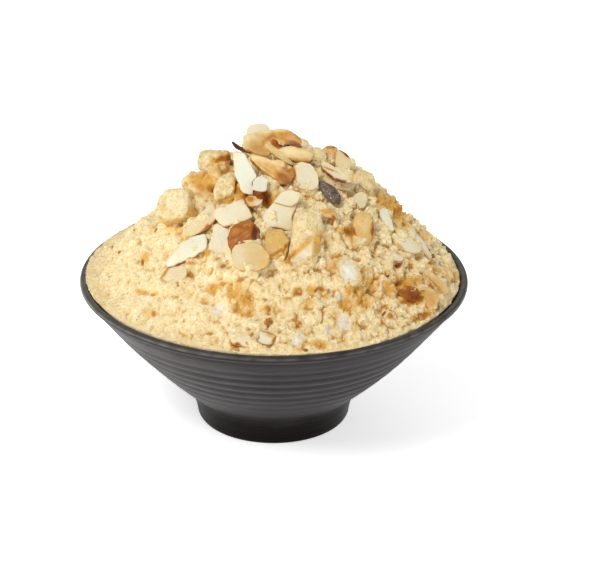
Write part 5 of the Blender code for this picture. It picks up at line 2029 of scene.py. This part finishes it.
    def build(self) -> list[bpy.types.Object]:
        """Makes every piece.

        Returns:
            The pieces.
        """
        return [piece.build(self.heap) for piece in self.pieces]

    def dusting(self, made: list[bpy.types.Object]) -> bpy.types.Object:
        """Joins copies of the pieces as a ground for the crumbs that lie on them.

        Args:
            made: the pieces.

        Returns:
            The ground, to be removed afterwards.
        """
        work = bmesh.new()
        for thing in made:
            work.from_mesh(thing.data)
        return linked("dusted", mesh_from(work, "dusted"))


@dataclass
class Bits:
    """Small broken bits of toasted almond that lie in the powder."""

    spots: tuple[Spot, ...] = spots(
        (299, 292, 4.5), (269, 323, 5), (268, 310, 3), (298, 325, 3.4), (237, 350, 4.5), (421, 317, 6),
        (387, 277, 2.6), (328, 291, 3), (384, 314, 2.6), (357, 325, 3), (316, 290, 2.4), (247, 344, 2.6),
        (408, 300, 2.2), (433, 256, 3), (305, 350, 2.4)
    )
    strewn: int = 40
    least: float = 0.8 * MM
    most: float = 1.8 * MM
    reach: float = 92 * MM

    def build(self, ground: bpy.types.Object) -> bpy.types.Object:
        """Breaks the bits and lays them on the heap, flat side down.

        Args:
            ground: the heap.

        Returns:
            All bits in one piece.
        """
        rng = random.Random(SEED)
        tree = BVHTree.FromObject(ground, bpy.context.evaluated_depsgraph_get())
        work = bmesh.new()
        places = []
        for spot in self.spots:
            hit, normal, _, distance = tree.ray_cast(LENS.eye, LENS.ray(spot.across, spot.down))
            if hit:
                places.append((hit, normal, spot.reach * distance / LENS.focal))
        for _ in range(self.strewn):
            angle = rng.uniform(-0.2, math.pi + 0.2)
            radius = self.reach * math.sqrt(rng.random())
            over = Vector((radius * math.cos(angle), radius * math.sin(angle), 0.3))
            hit, normal, _, _ = tree.ray_cast(over, Vector((0, 0, -1)))
            if hit:
                places.append((hit, normal, rng.uniform(self.least, self.most)))
        tones = []
        for middle, normal, size in places:
            before = len(work.verts)
            bmesh.ops.create_icosphere(work, subdivisions=2, radius=size)
            work.verts.ensure_lookup_table()
            fresh = work.verts[before:]
            turn = normal.to_track_quat("Z", "Y").to_matrix() @ Matrix.Rotation(rng.uniform(0, 6.28), 3, "Z")
            shift = Vector((rng.uniform(0, 60), rng.uniform(0, 60), 0))
            tone = rng.uniform(0.5, 1.0)
            for vertex in fresh:
                unit = vertex.co / size
                lump = 0.9 + 0.8 * noise.noise(unit * 1.3 + shift)
                vertex.co = turn @ Vector((unit.x * 1.15, unit.y * 0.7, unit.z * 0.55)) * size * lump + middle
                tones.append(tone)
        mesh = mesh_from(work, "almond_bits")
        mesh.shade_smooth()
        thing = linked("almond_bits", mesh)
        points = points_of(mesh)
        store(mesh, "toast", np.array(tones))
        store(mesh, "skin", np.clip(cloud(points, 2 * MM) * 2 - 0.1, 0, 1))
        store(mesh, "tan", np.ones(len(points)))
        store(mesh, "grain", points)
        return finished(thing, TOASTED)


@dataclass
class Studio:
    """White card, soft boxes and the bright surround."""

    card: float = 6.0
    surround: float = 0.32
    shine: float = 0.55
    aimed_at: tuple[float, float, float] = (0.0, 0.0, 90 * MM)
    boxes: tuple[tuple[str, tuple[float, float, float], float, float], ...] = (
        ("key", (-0.5, -0.65, 1.05), 0.35, 9.9),
        ("fill", (0.95, -0.8, 0.7), 0.9, 5.0),
        ("back", (0.2, 1.1, 1.0), 0.9, 3.5),
        ("side", (-1.0, -0.1, 0.02), 0.35, 5.0),
    )

    def build(self) -> None:
        """Lays the card and sets the lights."""
        half = self.card / 2
        side = 12
        line = np.linspace(-half, half, side + 1)
        x, y = np.meshgrid(line, line)
        bend = 0.02 * MM * np.sin(x * 3)
        points = np.stack([x.ravel(), y.ravel(), (bend - 0.2 * MM).ravel()], 1)
        floor = mesh_object("card", points, grid(side + 1))
        card = CARD.material()
        card.node_tree.nodes["Principled BSDF"].inputs["Emission Color"].default_value = (1, 1, 1, 1)
        card.node_tree.nodes["Principled BSDF"].inputs["Emission Strength"].default_value = self.shine
        floor.data.materials.append(card)
        world = bpy.data.worlds.new("surround")
        world.use_nodes = True
        world.node_tree.nodes["Background"].inputs["Color"].default_value = (1, 1, 1, 1)
        world.node_tree.nodes["Background"].inputs["Strength"].default_value = self.surround
        bpy.context.scene.world = world
        for name, place, size, power in self.boxes:
            data = bpy.data.lights.new(name, "AREA")
            data.shape = "SQUARE"
            data.size = size
            data.energy = power
            lamp = linked(name, data)
            aim = Vector(self.aimed_at) - Vector(place)
            lamp.matrix_world = Matrix.Translation(place) @ aim.to_track_quat("-Z", "Y").to_matrix().to_4x4()
        bpy.context.scene.view_settings.view_transform = "Standard"


def main() -> None:
    """Builds the bowl, the heap, its toppings and crumbs, and the studio round them."""
    logging.basicConfig(level=logging.INFO, format="%(message)s")
    LENS.place()
    Studio().build()
    bowl = Bowl()
    bowl.build()
    heap = IceHeap(bowl)
    toppings = Toppings(heap)
    heap.raise_banks(toppings.names())
    ground = heap.build()
    pieces = toppings.build()
    Bits().build(ground)
    for scatter in (
        Scatter("powder_grains", POWDER, 590_000, (0.4 * MM, 0.9 * MM), sides=0, seed=31),
        Scatter("fine_crumbs", POWDER, 250_000, (0.6 * MM, 1.4 * MM), seed=3),
        Scatter(
            "coarse_crumbs", POWDER, 80_000, (1.3 * MM, 3.4 * MM), flat=0.7, sides=2, seed=11, weight="clods",
            ragged=0.55,
        ),
        Scatter(
            "golden_flakes", TOASTED, 60_000, (1.0 * MM, 2.6 * MM), flat=0.35, seed=21, weight="wet", lean=0.7,
            sink=0.05, slot="toasted_almond",
        ),
    ):
        scatter.strew(ground)
    dusted = toppings.dusting(pieces)
    Scatter("topping_crumbs", POWDER, 600_000, (0.4 * MM, 1.0 * MM), seed=41, weight="hold").strew(dusted)
    bpy.data.objects.remove(dusted)
    LOG.info("%d toppings", len(pieces))


if __name__ == "__main__":
    main()
